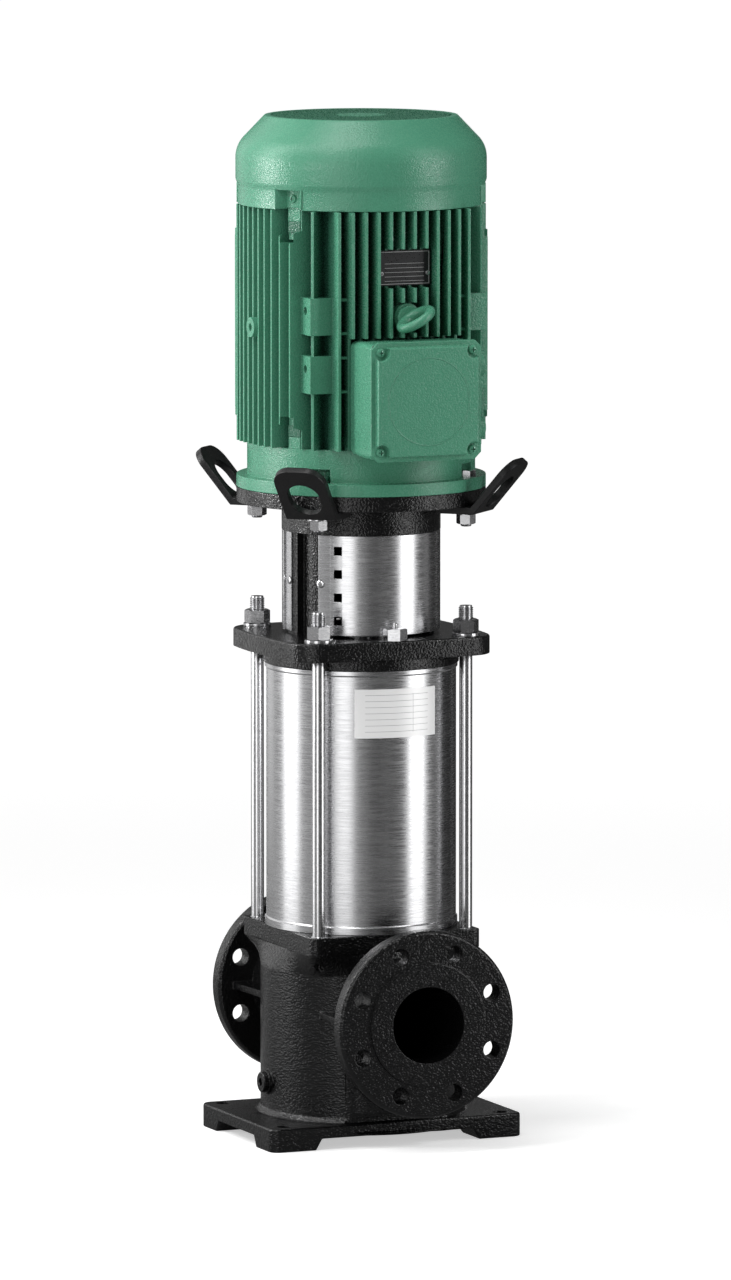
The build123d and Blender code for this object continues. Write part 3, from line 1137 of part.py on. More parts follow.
# The finned frame is one casting with corner ribs, fixing pads and the front mounting faces.
with BuildPart() as motor_frame:
    with BuildSketch(Plane.XY.offset(BELL_TOP_Z)):
        Circle(FRAME_R)
        for fin in range(FIN_COUNT):
            offset = (fin - (FIN_COUNT - 1) / 2) * FIN_PITCH
            tip_y = FIN_TIP_Y * (1 - abs(offset / FIN_TIP_Y) ** FIN_POWER) ** (1 / FIN_POWER)
            tip_x = FIN_TIP_X * (1 - abs(offset / FIN_TIP_X) ** FIN_POWER) ** (1 / FIN_POWER)
            with Locations((offset, 0)):
                Rectangle(FIN_T, 2 * tip_y)
            with Locations((0, offset)):
                Rectangle(2 * tip_x, FIN_T)
        Rectangle(2 * CORNER_RIB_R, CORNER_RIB_T, rotation=45)
        Rectangle(2 * CORNER_RIB_R, CORNER_RIB_T, rotation=-45)
    extrude(amount=FRAME_TOP_Z - BELL_TOP_Z)
    with BuildSketch(Plane.XY.offset(HOOD_BOTTOM_Z - 0.4)):
        Circle(2 * HOOD_R)
        Circle(HOOD_RIM_R - 2 * HOOD_T, mode=Mode.SUBTRACT)
    extrude(amount=FRAME_TOP_Z, mode=Mode.SUBTRACT)

    # Square pads on the corner ribs
    for bottom, top in PAD_Z:
        with BuildSketch(Plane.XY.offset(bottom)):
            with Locations(*square_points((PAD_INNER + PAD_OUTER) / 2, (PAD_INNER + PAD_OUTER) / 2)):
                Rectangle(PAD_OUTER - PAD_INNER, PAD_OUTER - PAD_INNER)
        extrude(amount=top - bottom)
    for z in PAD_HOLE_Z:
        for side in (-1, 1):
            with BuildSketch(Plane(origin=(side * PAD_OUTER, 0, z), x_dir=(0, 1, 0), z_dir=(side, 0, 0))):
                with Locations((-PAD_HOLE_Y, 0), (PAD_HOLE_Y, 0)):
                    Circle(PAD_HOLE_R)
            extrude(amount=-PAD_DEPTH, mode=Mode.SUBTRACT)

    # The outer side fins are cut back at both ends to clear the ears of the shields
    for side_x in (-1, 1):
        for side_y in (-1, 1):
            with BuildSketch(Plane.XZ.offset(-side_y * EAR_CUT_Y)):
                for near, far in ((BELL_TOP_Z, LOWER_CUT_Z), (FRAME_TOP_Z, UPPER_CUT_Z)):
                    step = EAR_CUT_SLOPE if far > near else -EAR_CUT_SLOPE
                    with BuildLine():
                        Polyline(
                            (side_x * EAR_CUT_X, near), (side_x * 2 * FRAME_R, near),
                            (side_x * 2 * FRAME_R, far + step), (side_x * FIN_TIP_X, far),
                            (side_x * EAR_CUT_X, far - step), close=True,
                        )
                    make_face()
            extrude(amount=-side_y * EAR_CUT_DEPTH, mode=Mode.SUBTRACT)

    # Ears of the frame against the ears of the shields
    for angle in EAR_ANGLES:
        for bottom, top in ((BELL_TOP_Z, LOWER_EAR_TOP_Z + 10), (UPPER_EAR_Z - 10, FRAME_TOP_Z)):
            with BuildSketch(radial_plane(angle, EAR_ROOT_R, (bottom + top) / 2)):
                Rectangle(EAR_WIDTH + 2 * EAR_CLEARANCE, top - bottom)
            extrude(amount=FRAME_R, mode=Mode.SUBTRACT)
        for bottom, top in ((LOWER_JOINT_Z, LOWER_EAR_TOP_Z), (UPPER_EAR_Z, UPPER_JOINT_Z)):
            with BuildSketch(radial_plane(angle, EAR_ROOT_R - 4, (bottom + top) / 2)):
                Rectangle(EAR_WIDTH, top - bottom)
            extrude(amount=EAR_R - EAR_ROOT_R + 4)
    with BuildSketch(Plane.XY.offset(LOWER_JOINT_Z)):
        with Locations(*ring_points(EAR_SCREW_POS_R, EAR_ANGLES)):
            Circle(EAR_SCREW_R)
    extrude(amount=UPPER_JOINT_Z - LOWER_JOINT_Z, mode=Mode.SUBTRACT)

    # Front faces for the terminal box, the nameplate and the eyebolt
    for half, bottom, top, face_y in (
        (BOX_HALF + 2, BELL_TOP_Z, BOX_MID_Z + BOX_HALF + 2, BOX_BACK_Y),
        (NAMEPLATE_X / 2 + NAMEPLATE_MARGIN, NAMEPLATE_MID_Z - NAMEPLATE_Z / 2 - NAMEPLATE_MARGIN,
         NAMEPLATE_MID_Z + NAMEPLATE_Z / 2 + NAMEPLATE_MARGIN, NAMEPLATE_Y),
        (EYE_BOSS_R + 1, EYE_Z - EYE_BOSS_R - 1, EYE_Z + EYE_BOSS_R + 1, NAMEPLATE_Y),
    ):
        with BuildSketch(Plane.XZ.offset(face_y)):
            with Locations((0, (bottom + top) / 2)):
                Rectangle(2 * half, top - bottom)
        extrude(amount=FRAME_R, mode=Mode.SUBTRACT)
    with BuildSketch(Plane.XZ.offset(FRAME_BORE_R)):
        with Locations((0, BOX_MID_Z)):
            Rectangle(2 * BOX_NECK_HALF, 2 * BOX_NECK_HALF)
    extrude(amount=BOX_BACK_Y - FRAME_BORE_R)
    with BuildSketch(Plane.XZ.offset(FRAME_BORE_R)):
        with Locations((0, NAMEPLATE_MID_Z)):
            Rectangle(NAMEPLATE_X, NAMEPLATE_Z)
    extrude(amount=NAMEPLATE_Y - FRAME_BORE_R)
    with BuildSketch(Plane.XZ.offset(FRAME_BORE_R)):
        with Locations((0, EYE_Z)):
            Circle(EYE_BOSS_R)
    extrude(amount=EYE_SEAT_Y - FRAME_BORE_R)
    with BuildSketch(Plane.XZ.offset(EYE_SEAT_Y)):
        with Locations((0, EYE_Z)):
            Circle(EYE_THREAD_R)
    extrude(amount=-EYE_THREAD_L, mode=Mode.SUBTRACT)

    # Round boss on the left side, then the bore for the stator
    with BuildSketch(Plane(origin=(-BOSS_FACE_X, BOSS_Y, BOSS_Z), z_dir=(-1, 0, 0))):
        Circle(BOSS_R)
    extrude(amount=FRAME_BORE_R - BOSS_FACE_X)
    with BuildSketch(Plane(origin=(-BOSS_FACE_X, BOSS_Y, BOSS_Z), z_dir=(-1, 0, 0))):
        Circle(BOSS_HOLE_R)
    extrude(amount=-18, mode=Mode.SUBTRACT)
    with BuildSketch(Plane.XY.offset(BELL_TOP_Z)):
        Circle(FRAME_BORE_R)
    extrude(amount=FRAME_TOP_Z - BELL_TOP_Z, mode=Mode.SUBTRACT)
    with BuildSketch(Plane.XZ.offset(NAMEPLATE_Y)):
        with Locations((-RIVET_X, RIVET_Z), (RIVET_X, RIVET_Z)):
            Circle(RIVET_R)
    extrude(amount=-6, mode=Mode.SUBTRACT)
save(motor_frame, "motor_frame")

# The rear shield closes the frame under the fan and carries the upper bearing.
with BuildPart() as rear_shield:
    with BuildSketch(Plane.XY.offset(FRAME_TOP_Z)):
        Circle(REAR_SHIELD_R)
    extrude(amount=REAR_SHIELD_T)
    with BuildSketch(Plane.XY.offset(REAR_BEARING_Z)):
        Circle(REAR_HUB_R)
    extrude(amount=REAR_HUB_TOP_Z - REAR_BEARING_Z)
    with BuildSketch(Plane.XY.offset(REAR_BEARING_Z)):
        Circle(REAR_BEARING_R)
    extrude(amount=REAR_BEARING_T, mode=Mode.SUBTRACT)
    with BuildSketch(Plane.XY.offset(REAR_BEARING_Z)):
        Circle(SHIELD_SHAFT_R)
    extrude(amount=REAR_HUB_TOP_Z - REAR_BEARING_Z, mode=Mode.SUBTRACT)
    for angle in EAR_ANGLES:
        with BuildSketch(radial_plane(angle, EAR_ROOT_R, (UPPER_JOINT_Z + UPPER_EAR_TOP_Z) / 2)):
            Rectangle(EAR_WIDTH, UPPER_EAR_TOP_Z - UPPER_JOINT_Z)
        extrude(amount=EAR_R - EAR_ROOT_R)
    with BuildSketch(Plane.XY.offset(UPPER_JOINT_Z)):
        with Locations(*ring_points(EAR_SCREW_POS_R, EAR_ANGLES)):
            Circle(EAR_SCREW_R)
    extrude(amount=EAR_SCREW_DEPTH, mode=Mode.SUBTRACT)
    for angle in EAR_ANGLES:
        with BuildSketch(radial_plane(angle, EAR_R, HOOD_SCREW_Z)):
            Circle(HOOD_SCREW_R)
        extrude(amount=-HOOD_SCREW_DEPTH, mode=Mode.SUBTRACT)
save(rear_shield, "rear_shield")

# Eight hex screws pull the ears of both shields against the ears of the frame.
with BuildPart() as shield_screws:
    for head_z, joint_z, side in (
        (LOWER_EAR_TOP_Z, LOWER_JOINT_Z, 1), (UPPER_EAR_Z, UPPER_JOINT_Z, -1),
    ):
        with BuildSketch(Plane.XY.offset(head_z)):
            with Locations(*ring_points(EAR_SCREW_POS_R, EAR_ANGLES)):
                Circle(EAR_SCREW_R)
        extrude(amount=joint_z - head_z - side * EAR_SCREW_DEPTH)
        with BuildSketch(Plane.XY.offset(head_z)):
            with Locations(*ring_points(EAR_SCREW_POS_R, EAR_ANGLES)):
                RegularPolygon(EAR_SCREW_AF / 2, 6, major_radius=False)
        extrude(amount=side * EAR_SCREW_HEAD_T)
save(shield_screws, "shield_screws")

# Stator, windings and rotor of the motor.
with BuildPart() as stator_core:
    with BuildSketch(Plane.XY.offset(CORE_Z)):
        Circle(FRAME_BORE_R)
        Circle(ROTOR_R + AIR_GAP, mode=Mode.SUBTRACT)
    extrude(amount=CORE_LENGTH)
save(stator_core, "stator_core")

with BuildPart() as stator_windings:
    for z in (CORE_Z - WINDING_LENGTH, CORE_Z + CORE_LENGTH):
        with BuildSketch(Plane.XY.offset(z)):
            Circle(WINDING_OUTER_R)
            Circle(WINDING_INNER_R, mode=Mode.SUBTRACT)
        extrude(amount=WINDING_LENGTH)
    far_edges = stator_windings.faces().filter_by(Plane.XY)
    fillet((far_edges.sort_by(Axis.Z)[0] + far_edges.sort_by(Axis.Z)[-1]).edges(), 6)
save(stator_windings, "stator_windings")

with BuildPart() as rotor_core:
    with BuildSketch(Plane.XY.offset(CORE_Z)):
        Circle(ROTOR_R)
    extrude(amount=CORE_LENGTH)
    for z in (CORE_Z - ROTOR_RING_L, CORE_Z + CORE_LENGTH):
        with BuildSketch(Plane.XY.offset(z)):
            Circle(ROTOR_R - 2)
            Circle(ROTOR_RING_R, mode=Mode.SUBTRACT)
        extrude(amount=ROTOR_RING_L)
    with BuildSketch(Plane.XY.offset(CORE_Z)):
        Circle(MOTOR_SHAFT_CORE_R)
    extrude(amount=CORE_LENGTH, mode=Mode.SUBTRACT)
save(rotor_core, "rotor_core")

# The motor shaft steps up from the coupling to the core and down again to the fan.
with BuildPart() as motor_shaft:
    bottoms = (
        MOTOR_SHAFT_Z, SHIELD_FLANGE_Z, SHIELD_FLANGE_Z + DRIVE_BEARING_T, REAR_BEARING_Z,
        REAR_BEARING_Z + REAR_BEARING_T,
    )
    tops = bottoms[1:] + (MOTOR_SHAFT_TOP_Z,)
    radii = (
        MOTOR_SHAFT_R, MOTOR_SHAFT_BEARING_R, MOTOR_SHAFT_CORE_R, MOTOR_SHAFT_BEARING_R,
        MOTOR_SHAFT_FAN_R,
    )
    for bottom, top, radius in zip(bottoms, tops, radii):
        with BuildSketch(Plane.XY.offset(bottom)):
            Circle(radius)
        extrude(amount=top - bottom)
save(motor_shaft, "motor_shaft")

# Each bearing is drawn closed: a fixed outer part and a turning inner part with its shield.
with BuildPart() as bearing_outer_rings:
    for z, radius, length in (
        (SHIELD_FLANGE_Z, DRIVE_BEARING_R, DRIVE_BEARING_T),
        (REAR_BEARING_Z, REAR_BEARING_R, REAR_BEARING_T),
    ):
        with BuildSketch(Plane.XY.offset(z)):
            Circle(radius)
            Circle(BEARING_SPLIT_R, mode=Mode.SUBTRACT)
        extrude(amount=length)
save(bearing_outer_rings, "bearing_outer_rings")

with BuildPart() as bearing_inner_rings:
    for z, length in ((SHIELD_FLANGE_Z, DRIVE_BEARING_T), (REAR_BEARING_Z, REAR_BEARING_T)):
        with BuildSketch(Plane.XY.offset(z)):
            Circle(BEARING_SPLIT_R - RUNNING_GAP)
            Circle(MOTOR_SHAFT_BEARING_R, mode=Mode.SUBTRACT)
        extrude(amount=length)
save(bearing_inner_rings, "bearing_inner_rings")

# The fan is moulded with straight radial blades, so it works in either direction.
with BuildPart() as cooling_fan:
    with BuildSketch(Plane.XY.offset(FAN_Z)):
        with PolarLocations(FAN_R / 2, FAN_BLADES):
            Rectangle(FAN_R, FAN_BLADE_T)
        Circle(FAN_HUB_R)
    extrude(amount=FAN_HEIGHT)
    with BuildSketch(Plane.XY.offset(FAN_Z)):
        Circle(FAN_PLATE_R)
    extrude(amount=FAN_PLATE_T)
    with BuildSketch(Plane.XY.offset(FAN_Z)):
        Circle(MOTOR_SHAFT_FAN_R)
    extrude(amount=FAN_HEIGHT, mode=Mode.SUBTRACT)
save(cooling_fan, "cooling_fan")

# The fan cover is a pressed hood: stepped rim, round shoulder, slotted top and four notches.
with BuildPart() as fan_cover:
    with BuildSketch(Plane.XZ):
        with BuildLine():
            shoulder = ThreePointArc(
                (HOOD_R, HOOD_SHOULDER_Z), (HOOD_SHOULDER_R, HOOD_SHOULDER_MID_Z),
                (HOOD_GRILLE_R, HOOD_TOP_Z),
            )
            inner = ThreePointArc(
                (HOOD_R - HOOD_T, HOOD_SHOULDER_Z),
                (HOOD_SHOULDER_R - HOOD_T, HOOD_SHOULDER_MID_Z - HOOD_T / 2),
                (HOOD_GRILLE_R - HOOD_T / 2, HOOD_TOP_Z - HOOD_T),
            )
            Polyline(shoulder @ 1, (0, HOOD_TOP_Z), (0, HOOD_TOP_Z - HOOD_T), inner @ 1)
            Polyline(
                inner @ 0, (HOOD_R - HOOD_T, HOOD_STEP_Z + 1), (HOOD_RIM_R - HOOD_T, HOOD_STEP_Z - 1),
                (HOOD_RIM_R - HOOD_T, HOOD_BOTTOM_Z), (HOOD_RIM_R, HOOD_BOTTOM_Z),
                (HOOD_RIM_R, HOOD_STEP_Z - 1), (HOOD_R, HOOD_STEP_Z + 1), shoulder @ 0,
            )
        make_face()
    revolve(axis=Axis.Z)
    with BuildSketch(Plane.XY.offset(HOOD_TOP_Z)):
        for inner_r, outer_r in HOOD_SLOT_RINGS:
            with PolarLocations(0, HOOD_SLOT_COUNT):
                add(sector(inner_r, outer_r, -HOOD_SLOT_ANGLE / 2, HOOD_SLOT_ANGLE / 2))
    extrude(amount=-HOOD_T, mode=Mode.SUBTRACT)
    for angle in EAR_ANGLES:
        notch_top = HOOD_BOTTOM_Z + NOTCH_HEIGHT
        with BuildSketch(radial_plane(angle, EAR_R, HOOD_BOTTOM_Z + NOTCH_HEIGHT / 2)):
            Rectangle(NOTCH_WIDTH, NOTCH_HEIGHT)
        extrude(amount=FRAME_R, mode=Mode.SUBTRACT)
        with BuildSketch(radial_plane(angle, EAR_R, notch_top + HOOD_T / 2)):
            Rectangle(NOTCH_WIDTH, HOOD_T)
        extrude(amount=HOOD_R - EAR_R - 1.2)
        with BuildSketch(radial_plane(angle, EAR_R, (HOOD_BOTTOM_Z + 3 + notch_top) / 2)):
            Rectangle(TAB_WIDTH, NOTCH_HEIGHT - 3)
        extrude(amount=HOOD_T)
        with BuildSketch(radial_plane(angle, EAR_R, HOOD_SCREW_Z)):
            Circle(HOOD_SCREW_R)
        extrude(amount=HOOD_T, mode=Mode.SUBTRACT)
save(fan_cover, "fan_cover")

with BuildPart() as fan_cover_screws:
    for angle in EAR_ANGLES:
        with BuildSketch(radial_plane(angle, EAR_R - HOOD_SCREW_DEPTH, HOOD_SCREW_Z)):
            Circle(HOOD_SCREW_R)
        extrude(amount=HOOD_SCREW_DEPTH + HOOD_T)
        with BuildSketch(radial_plane(angle, EAR_R + HOOD_T, HOOD_SCREW_Z)):
            Circle(HOOD_SCREW_HEAD_R)
        extrude(amount=HOOD_SCREW_HEAD_T, taper=20)
save(fan_cover_screws, "fan_cover_screws")

# The terminal box flares from its neck on the frame to the gasket face.
with BuildPart() as terminal_box:
    for offset in (0, BOX_WALL):
        mode = Mode.ADD if offset == 0 else Mode.SUBTRACT
        with BuildSketch(Plane.XZ.offset(BOX_BACK_Y + offset)):
            with Locations((0, BOX_MID_Z)):
                RectangleRounded(2 * (BOX_NECK_HALF - offset), 2 * (BOX_NECK_HALF - offset), BOX_CORNER_R)
        with BuildSketch(Plane.XZ.offset(BOX_FLARE_Y)):
            with Locations((0, BOX_MID_Z)):
                RectangleRounded(2 * (BOX_HALF - offset), 2 * (BOX_HALF - offset), BOX_CORNER_R)
        loft(mode=mode)
        with BuildSketch(Plane.XZ.offset(BOX_FLARE_Y)):
            with Locations((0, BOX_MID_Z)):
                RectangleRounded(2 * (BOX_HALF - offset), 2 * (BOX_HALF - offset), BOX_CORNER_R)
        extrude(amount=BOX_FRONT_Y - BOX_FLARE_Y, mode=mode)
    with BuildSketch(Plane.XZ.offset(BOX_FRONT_Y)):
        with Locations((0, BOX_MID_Z)):
            with GridLocations(2 * LID_SCREW_POS, 2 * LID_SCREW_POS, 2, 2):
                Circle(2 * LID_SCREW_R)
    extrude(amount=-BOX_FRONT_Y + BOX_FLARE_Y)
    with BuildSketch(Plane.XZ.offset(BOX_FRONT_Y)):
        with Locations((0, BOX_MID_Z)):
            with GridLocations(2 * LID_SCREW_POS, 2 * LID_SCREW_POS, 2, 2):
                Circle(LID_SCREW_R)
    extrude(amount=-LID_SCREW_DEPTH, mode=Mode.SUBTRACT)
    for z in ENTRY_Z:
        with BuildSketch(Plane(origin=(BOX_HALF - 1, -ENTRY_Y, z), z_dir=(1, 0, 0))):
            Circle(ENTRY_R)
        extrude(amount=ENTRY_BOSS_X - BOX_HALF + 1)
        with BuildSketch(Plane(origin=(ENTRY_BOSS_X, -ENTRY_Y, z), z_dir=(1, 0, 0))):
            Circle(ENTRY_HOLE_R)
        extrude(amount=BOX_HALF - BOX_WALL - ENTRY_BOSS_X - 1, mode=Mode.SUBTRACT)
save(terminal_box, "terminal_box")

with BuildPart() as terminal_gasket:
    with BuildSketch(Plane.XZ.offset(BOX_FRONT_Y)):
        with Locations((0, BOX_MID_Z)):
            RectangleRounded(2 * BOX_HALF, 2 * BOX_HALF, BOX_CORNER_R)
            Rectangle(2 * (BOX_HALF - BOX_WALL), 2 * (BOX_HALF - BOX_WALL), mode=Mode.SUBTRACT)
            with GridLocations(2 * LID_SCREW_POS, 2 * LID_SCREW_POS, 2, 2):
                Circle(2 * LID_SCREW_R)
            with GridLocations(2 * LID_SCREW_POS, 2 * LID_SCREW_POS, 2, 2):
                Circle(LID_SCREW_R, mode=Mode.SUBTRACT)
    extrude(amount=GASKET_T)
save(terminal_gasket, "terminal_gasket")

# The lid has chamfered corners and a raised panel scalloped round its four screws.
with BuildPart() as terminal_lid:
    lid_back = BOX_FRONT_Y + GASKET_T
    with BuildSketch(Plane.XZ.offset(lid_back)) as lid_outline:
        with Locations((0, BOX_MID_Z)):
            Rectangle(2 * LID_HALF, 2 * LID_HALF)
        chamfer(lid_outline.vertices(), LID_CORNER)
    extrude(amount=LID_T)
    with BuildSketch(Plane.XZ.offset(lid_back + LID_T)):
        with Locations((0, BOX_MID_Z)):
            Rectangle(2 * LID_PANEL_HALF, 2 * LID_PANEL_HALF)
            with GridLocations(2 * LID_SCREW_POS, 2 * LID_SCREW_POS, 2, 2):
                Circle(LID_SCALLOP_R, mode=Mode.SUBTRACT)
    extrude(amount=LID_PANEL_T)
    chamfer(terminal_lid.faces().sort_by(Axis.Y)[0].edges(), LID_PANEL_EDGE)
    with BuildSketch(Plane.XZ.offset(lid_back)):
        with Locations((0, BOX_MID_Z)):
            with GridLocations(2 * LID_SCREW_POS, 2 * LID_SCREW_POS, 2, 2):
                Circle(LID_SCREW_R)
    extrude(amount=LID_T, mode=Mode.SUBTRACT)
save(terminal_lid, "terminal_lid")

with BuildPart() as terminal_lid_screws:
    with BuildSketch(Plane.XZ.offset(BOX_FRONT_Y - LID_SCREW_DEPTH)):
        with Locations((0, BOX_MID_Z)):
            with GridLocations(2 * LID_SCREW_POS, 2 * LID_SCREW_POS, 2, 2):
                Circle(LID_SCREW_R)
    extrude(amount=LID_SCREW_DEPTH + GASKET_T + LID_T)
    with BuildSketch(Plane.XZ.offset(BOX_FRONT_Y + GASKET_T + LID_T)):
        with Locations((0, BOX_MID_Z)):
            with GridLocations(2 * LID_SCREW_POS, 2 * LID_SCREW_POS, 2, 2):
                Circle(LID_SCREW_HEAD_R)
    extrude(amount=LID_SCREW_HEAD_T, taper=20)
save(terminal_lid_screws, "terminal_lid_screws")

with BuildPart() as terminal_block:
    with BuildSketch(Plane.XZ.offset(BOX_BACK_Y + BOX_WALL)):
        with Locations((0, BOX_MID_Z)):
            Rectangle(BLOCK_X, BLOCK_Z)
    extrude(amount=BLOCK_T)
    with BuildSketch(Plane.XZ.offset(BOX_BACK_Y + BOX_WALL + BLOCK_T)):
        with Locations((0, BOX_MID_Z)):
            with GridLocations(BLOCK_STUD_X, 2 * BLOCK_STUD_Z, 3, 2):
                Circle(BLOCK_STUD_R)
    extrude(amount=BLOCK_STUD_L)
save(terminal_block, "terminal_block")

# Two blanking plugs close the cable entries on the right of the box.
with BuildPart() as blanking_plugs:
    for z in ENTRY_Z:
        with BuildSketch(Plane(origin=(BOX_HALF - BOX_WALL, -ENTRY_Y, z), z_dir=(1, 0, 0))):
            Circle(ENTRY_HOLE_R)
        extrude(amount=ENTRY_BOSS_X - BOX_HALF + BOX_WALL)
        with BuildSketch(Plane(origin=(ENTRY_BOSS_X, -ENTRY_Y, z), z_dir=(1, 0, 0))):
            Circle(ENTRY_R)
        extrude(amount=ENTRY_HEAD_T)
    chamfer(blanking_plugs.faces().group_by(Axis.X)[-1].edges(), 1.5)
save(blanking_plugs, "blanking_plugs")

# The eyebolt screws into the front boss; its ring stands rolled off the level.
with BuildPart() as eyebolt:
    with BuildSketch(Plane.XZ.offset(EYE_SEAT_Y - EYE_THREAD_L)):
        with Locations((0, EYE_Z)):
            Circle(EYE_THREAD_R)
    extrude(amount=EYE_THREAD_L)
    with BuildSketch(Plane.XZ.offset(EYE_SEAT_Y)):
        with Locations((0, EYE_Z)):
            Circle(EYE_COLLAR_R)
    extrude(amount=EYE_COLLAR_T)
    ring_plane = Plane(
        origin=(0, -EYE_SEAT_Y - EYE_REACH, EYE_Z),
        x_dir=(0, -1, 0),
        z_dir=(-sin(radians(EYE_ROLL)), 0, cos(radians(EYE_ROLL))),
    )
    with Locations(ring_plane.location):
        Torus(EYE_RING_R, EYE_SECTION_R)
save(eyebolt, "eyebolt")

# The nameplate is bare, held by two rivets.
with BuildPart() as nameplate:
    with BuildSketch(Plane.XZ.offset(NAMEPLATE_Y)):
        with Locations((0, NAMEPLATE_MID_Z)):
            RectangleRounded(NAMEPLATE_X, NAMEPLATE_Z, 2)
        with Locations((-RIVET_X, RIVET_Z), (RIVET_X, RIVET_Z)):
            Circle(RIVET_R, mode=Mode.SUBTRACT)
    extrude(amount=NAMEPLATE_T)
save(nameplate, "nameplate")

with BuildPart() as nameplate_rivets:
    with BuildSketch(Plane.XZ.offset(NAMEPLATE_Y - 6)):
        with Locations((-RIVET_X, RIVET_Z), (RIVET_X, RIVET_Z)):
            Circle(RIVET_R)
    extrude(amount=6 + NAMEPLATE_T)
    with BuildSketch(Plane.XZ.offset(NAMEPLATE_Y + NAMEPLATE_T)):
        with Locations((-RIVET_X, RIVET_Z), (RIVET_X, RIVET_Z)):
            Circle(1.6 * RIVET_R)
    extrude(amount=1, taper=20)
save(nameplate_rivets, "nameplate_rivets")
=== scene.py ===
from math import cos, pi, radians, sin, sqrt

import bpy
from mathutils import Matrix, Vector


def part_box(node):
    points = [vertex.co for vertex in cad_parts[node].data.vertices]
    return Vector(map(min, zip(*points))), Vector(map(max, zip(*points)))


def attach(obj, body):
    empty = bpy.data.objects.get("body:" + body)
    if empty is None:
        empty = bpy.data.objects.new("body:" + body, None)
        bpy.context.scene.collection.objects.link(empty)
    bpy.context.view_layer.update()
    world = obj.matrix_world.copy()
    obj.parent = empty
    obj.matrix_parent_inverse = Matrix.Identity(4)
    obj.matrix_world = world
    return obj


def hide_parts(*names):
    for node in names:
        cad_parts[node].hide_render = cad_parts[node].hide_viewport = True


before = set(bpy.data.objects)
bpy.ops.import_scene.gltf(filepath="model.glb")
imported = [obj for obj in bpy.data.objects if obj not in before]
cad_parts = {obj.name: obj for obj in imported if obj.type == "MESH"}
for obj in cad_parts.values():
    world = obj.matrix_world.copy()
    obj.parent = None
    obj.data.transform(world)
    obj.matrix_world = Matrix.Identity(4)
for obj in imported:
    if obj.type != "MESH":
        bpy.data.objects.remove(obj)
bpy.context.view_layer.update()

# Camera: it stands about 11 m away, a little above the motor and to the left of the front,
# so that the upright edges of the pump stay almost parallel.
CAMERA_PLACE = (-4.245, -9.980, 1.804)
CAMERA_TARGET = (0.0043, -0.0018, 0.530)
CAMERA_LENS = 287.8
bpy.context.scene.view_settings.view_transform = "Standard"
camera_data = bpy.data.cameras.new("camera")
camera_data.lens = CAMERA_LENS
camera_data.sensor_width = 36.0
camera_data.clip_end = 200.0
camera = bpy.data.objects.new("camera", camera_data)
bpy.context.collection.objects.link(camera)
camera.location = CAMERA_PLACE
aim = Vector(CAMERA_TARGET) - camera.location
camera.rotation_euler = aim.to_track_quat("-Z", "Y").to_euler()
bpy.context.scene.camera = camera

# Studio: a pale floor that reads white to the camera and keeps the pump's shadow, tall narrow
# softboxes that draw the upright bands on the steel, a wide one overhead and grey cards
# between them that only the reflections show.
FLOOR_COLOUR = (0.86, 0.86, 0.86, 1.0)
FLOOR_COLOUR_MIRRORED = (0.18, 0.18, 0.18, 1.0)
FLOOR_GLOW_SEEN = 0.50
FLOOR_GLOW_MIRRORED = 0.05
FLOOR_GLOW_FAR = 0.86
FLOOR_FADE_START = 0.6
FLOOR_FADE_END = 4.5
WORLD_LIGHT = 0.20
VIEW_AZIMUTH = -113.04
OVERHEAD_Z = 2.5
LOW_AIM_Z = 0.6
CARD_DISTANCE = 1.25
CARD_MIDDLE_Z = 1.3
CARD_TALL = 2.6


def mirrored(nodes, links, path):
    """1 for rays from mirrors and through glass, and 0 for the others."""
    either = nodes.new("ShaderNodeMath")
    either.operation = "MAXIMUM"
    links.new(path.outputs["Is Glossy Ray"], either.inputs[0])
    links.new(path.outputs["Is Transmission Ray"], either.inputs[1])
    return either.outputs[0]


bpy.ops.mesh.primitive_plane_add(size=120.0, location=(0, 0, 0))
floor = bpy.context.object
floor.name = "studio_floor"
floor_paint = bpy.data.materials.new("floor_paint")
floor_paint.use_nodes = True
nodes, links = floor_paint.node_tree.nodes, floor_paint.node_tree.links
nodes.remove(nodes["Principled BSDF"])
matt = nodes.new("ShaderNodeBsdfDiffuse")
path = nodes.new("ShaderNodeLightPath")
dimmed = nodes.new("ShaderNodeMix")
dimmed.data_type = "RGBA"
dimmed.inputs["A"].default_value = FLOOR_COLOUR
dimmed.inputs["B"].default_value = FLOOR_COLOUR_MIRRORED
links.new(mirrored(nodes, links, path), dimmed.inputs["Factor"])
links.new(dimmed.outputs["Result"], matt.inputs["Color"])
# Away from the lamps the floor glows for the camera and in mirrors, so that it stays white.
where = nodes.new("ShaderNodeTexCoord")
reach = nodes.new("ShaderNodeVectorMath")
reach.operation = "LENGTH"
links.new(where.outputs["Object"], reach.inputs[0])
total = nodes.new("ShaderNodeMath")
total.operation = "ADD"
for number, (ray, near) in enumerate([(path.outputs["Is Camera Ray"], FLOOR_GLOW_SEEN),
                                      (mirrored(nodes, links, path), FLOOR_GLOW_MIRRORED)]):
    fade = nodes.new("ShaderNodeMapRange")
    fade.interpolation_type = "SMOOTHSTEP"
    fade.inputs["From Min"].default_value = FLOOR_FADE_START
    fade.inputs["From Max"].default_value = FLOOR_FADE_END
    fade.inputs["To Min"].default_value = near
    fade.inputs["To Max"].default_value = FLOOR_GLOW_FAR
    links.new(reach.outputs["Value"], fade.inputs["Value"])
    share = nodes.new("ShaderNodeMath")
    share.operation = "MULTIPLY"
    links.new(ray, share.inputs[0])
    links.new(fade.outputs["Result"], share.inputs[1])
    links.new(share.outputs[0], total.inputs[number])
glow = nodes.new("ShaderNodeEmission")
links.new(total.outputs[0], glow.inputs["Strength"])
both = nodes.new("ShaderNodeAddShader")
links.new(matt.outputs[0], both.inputs[0])
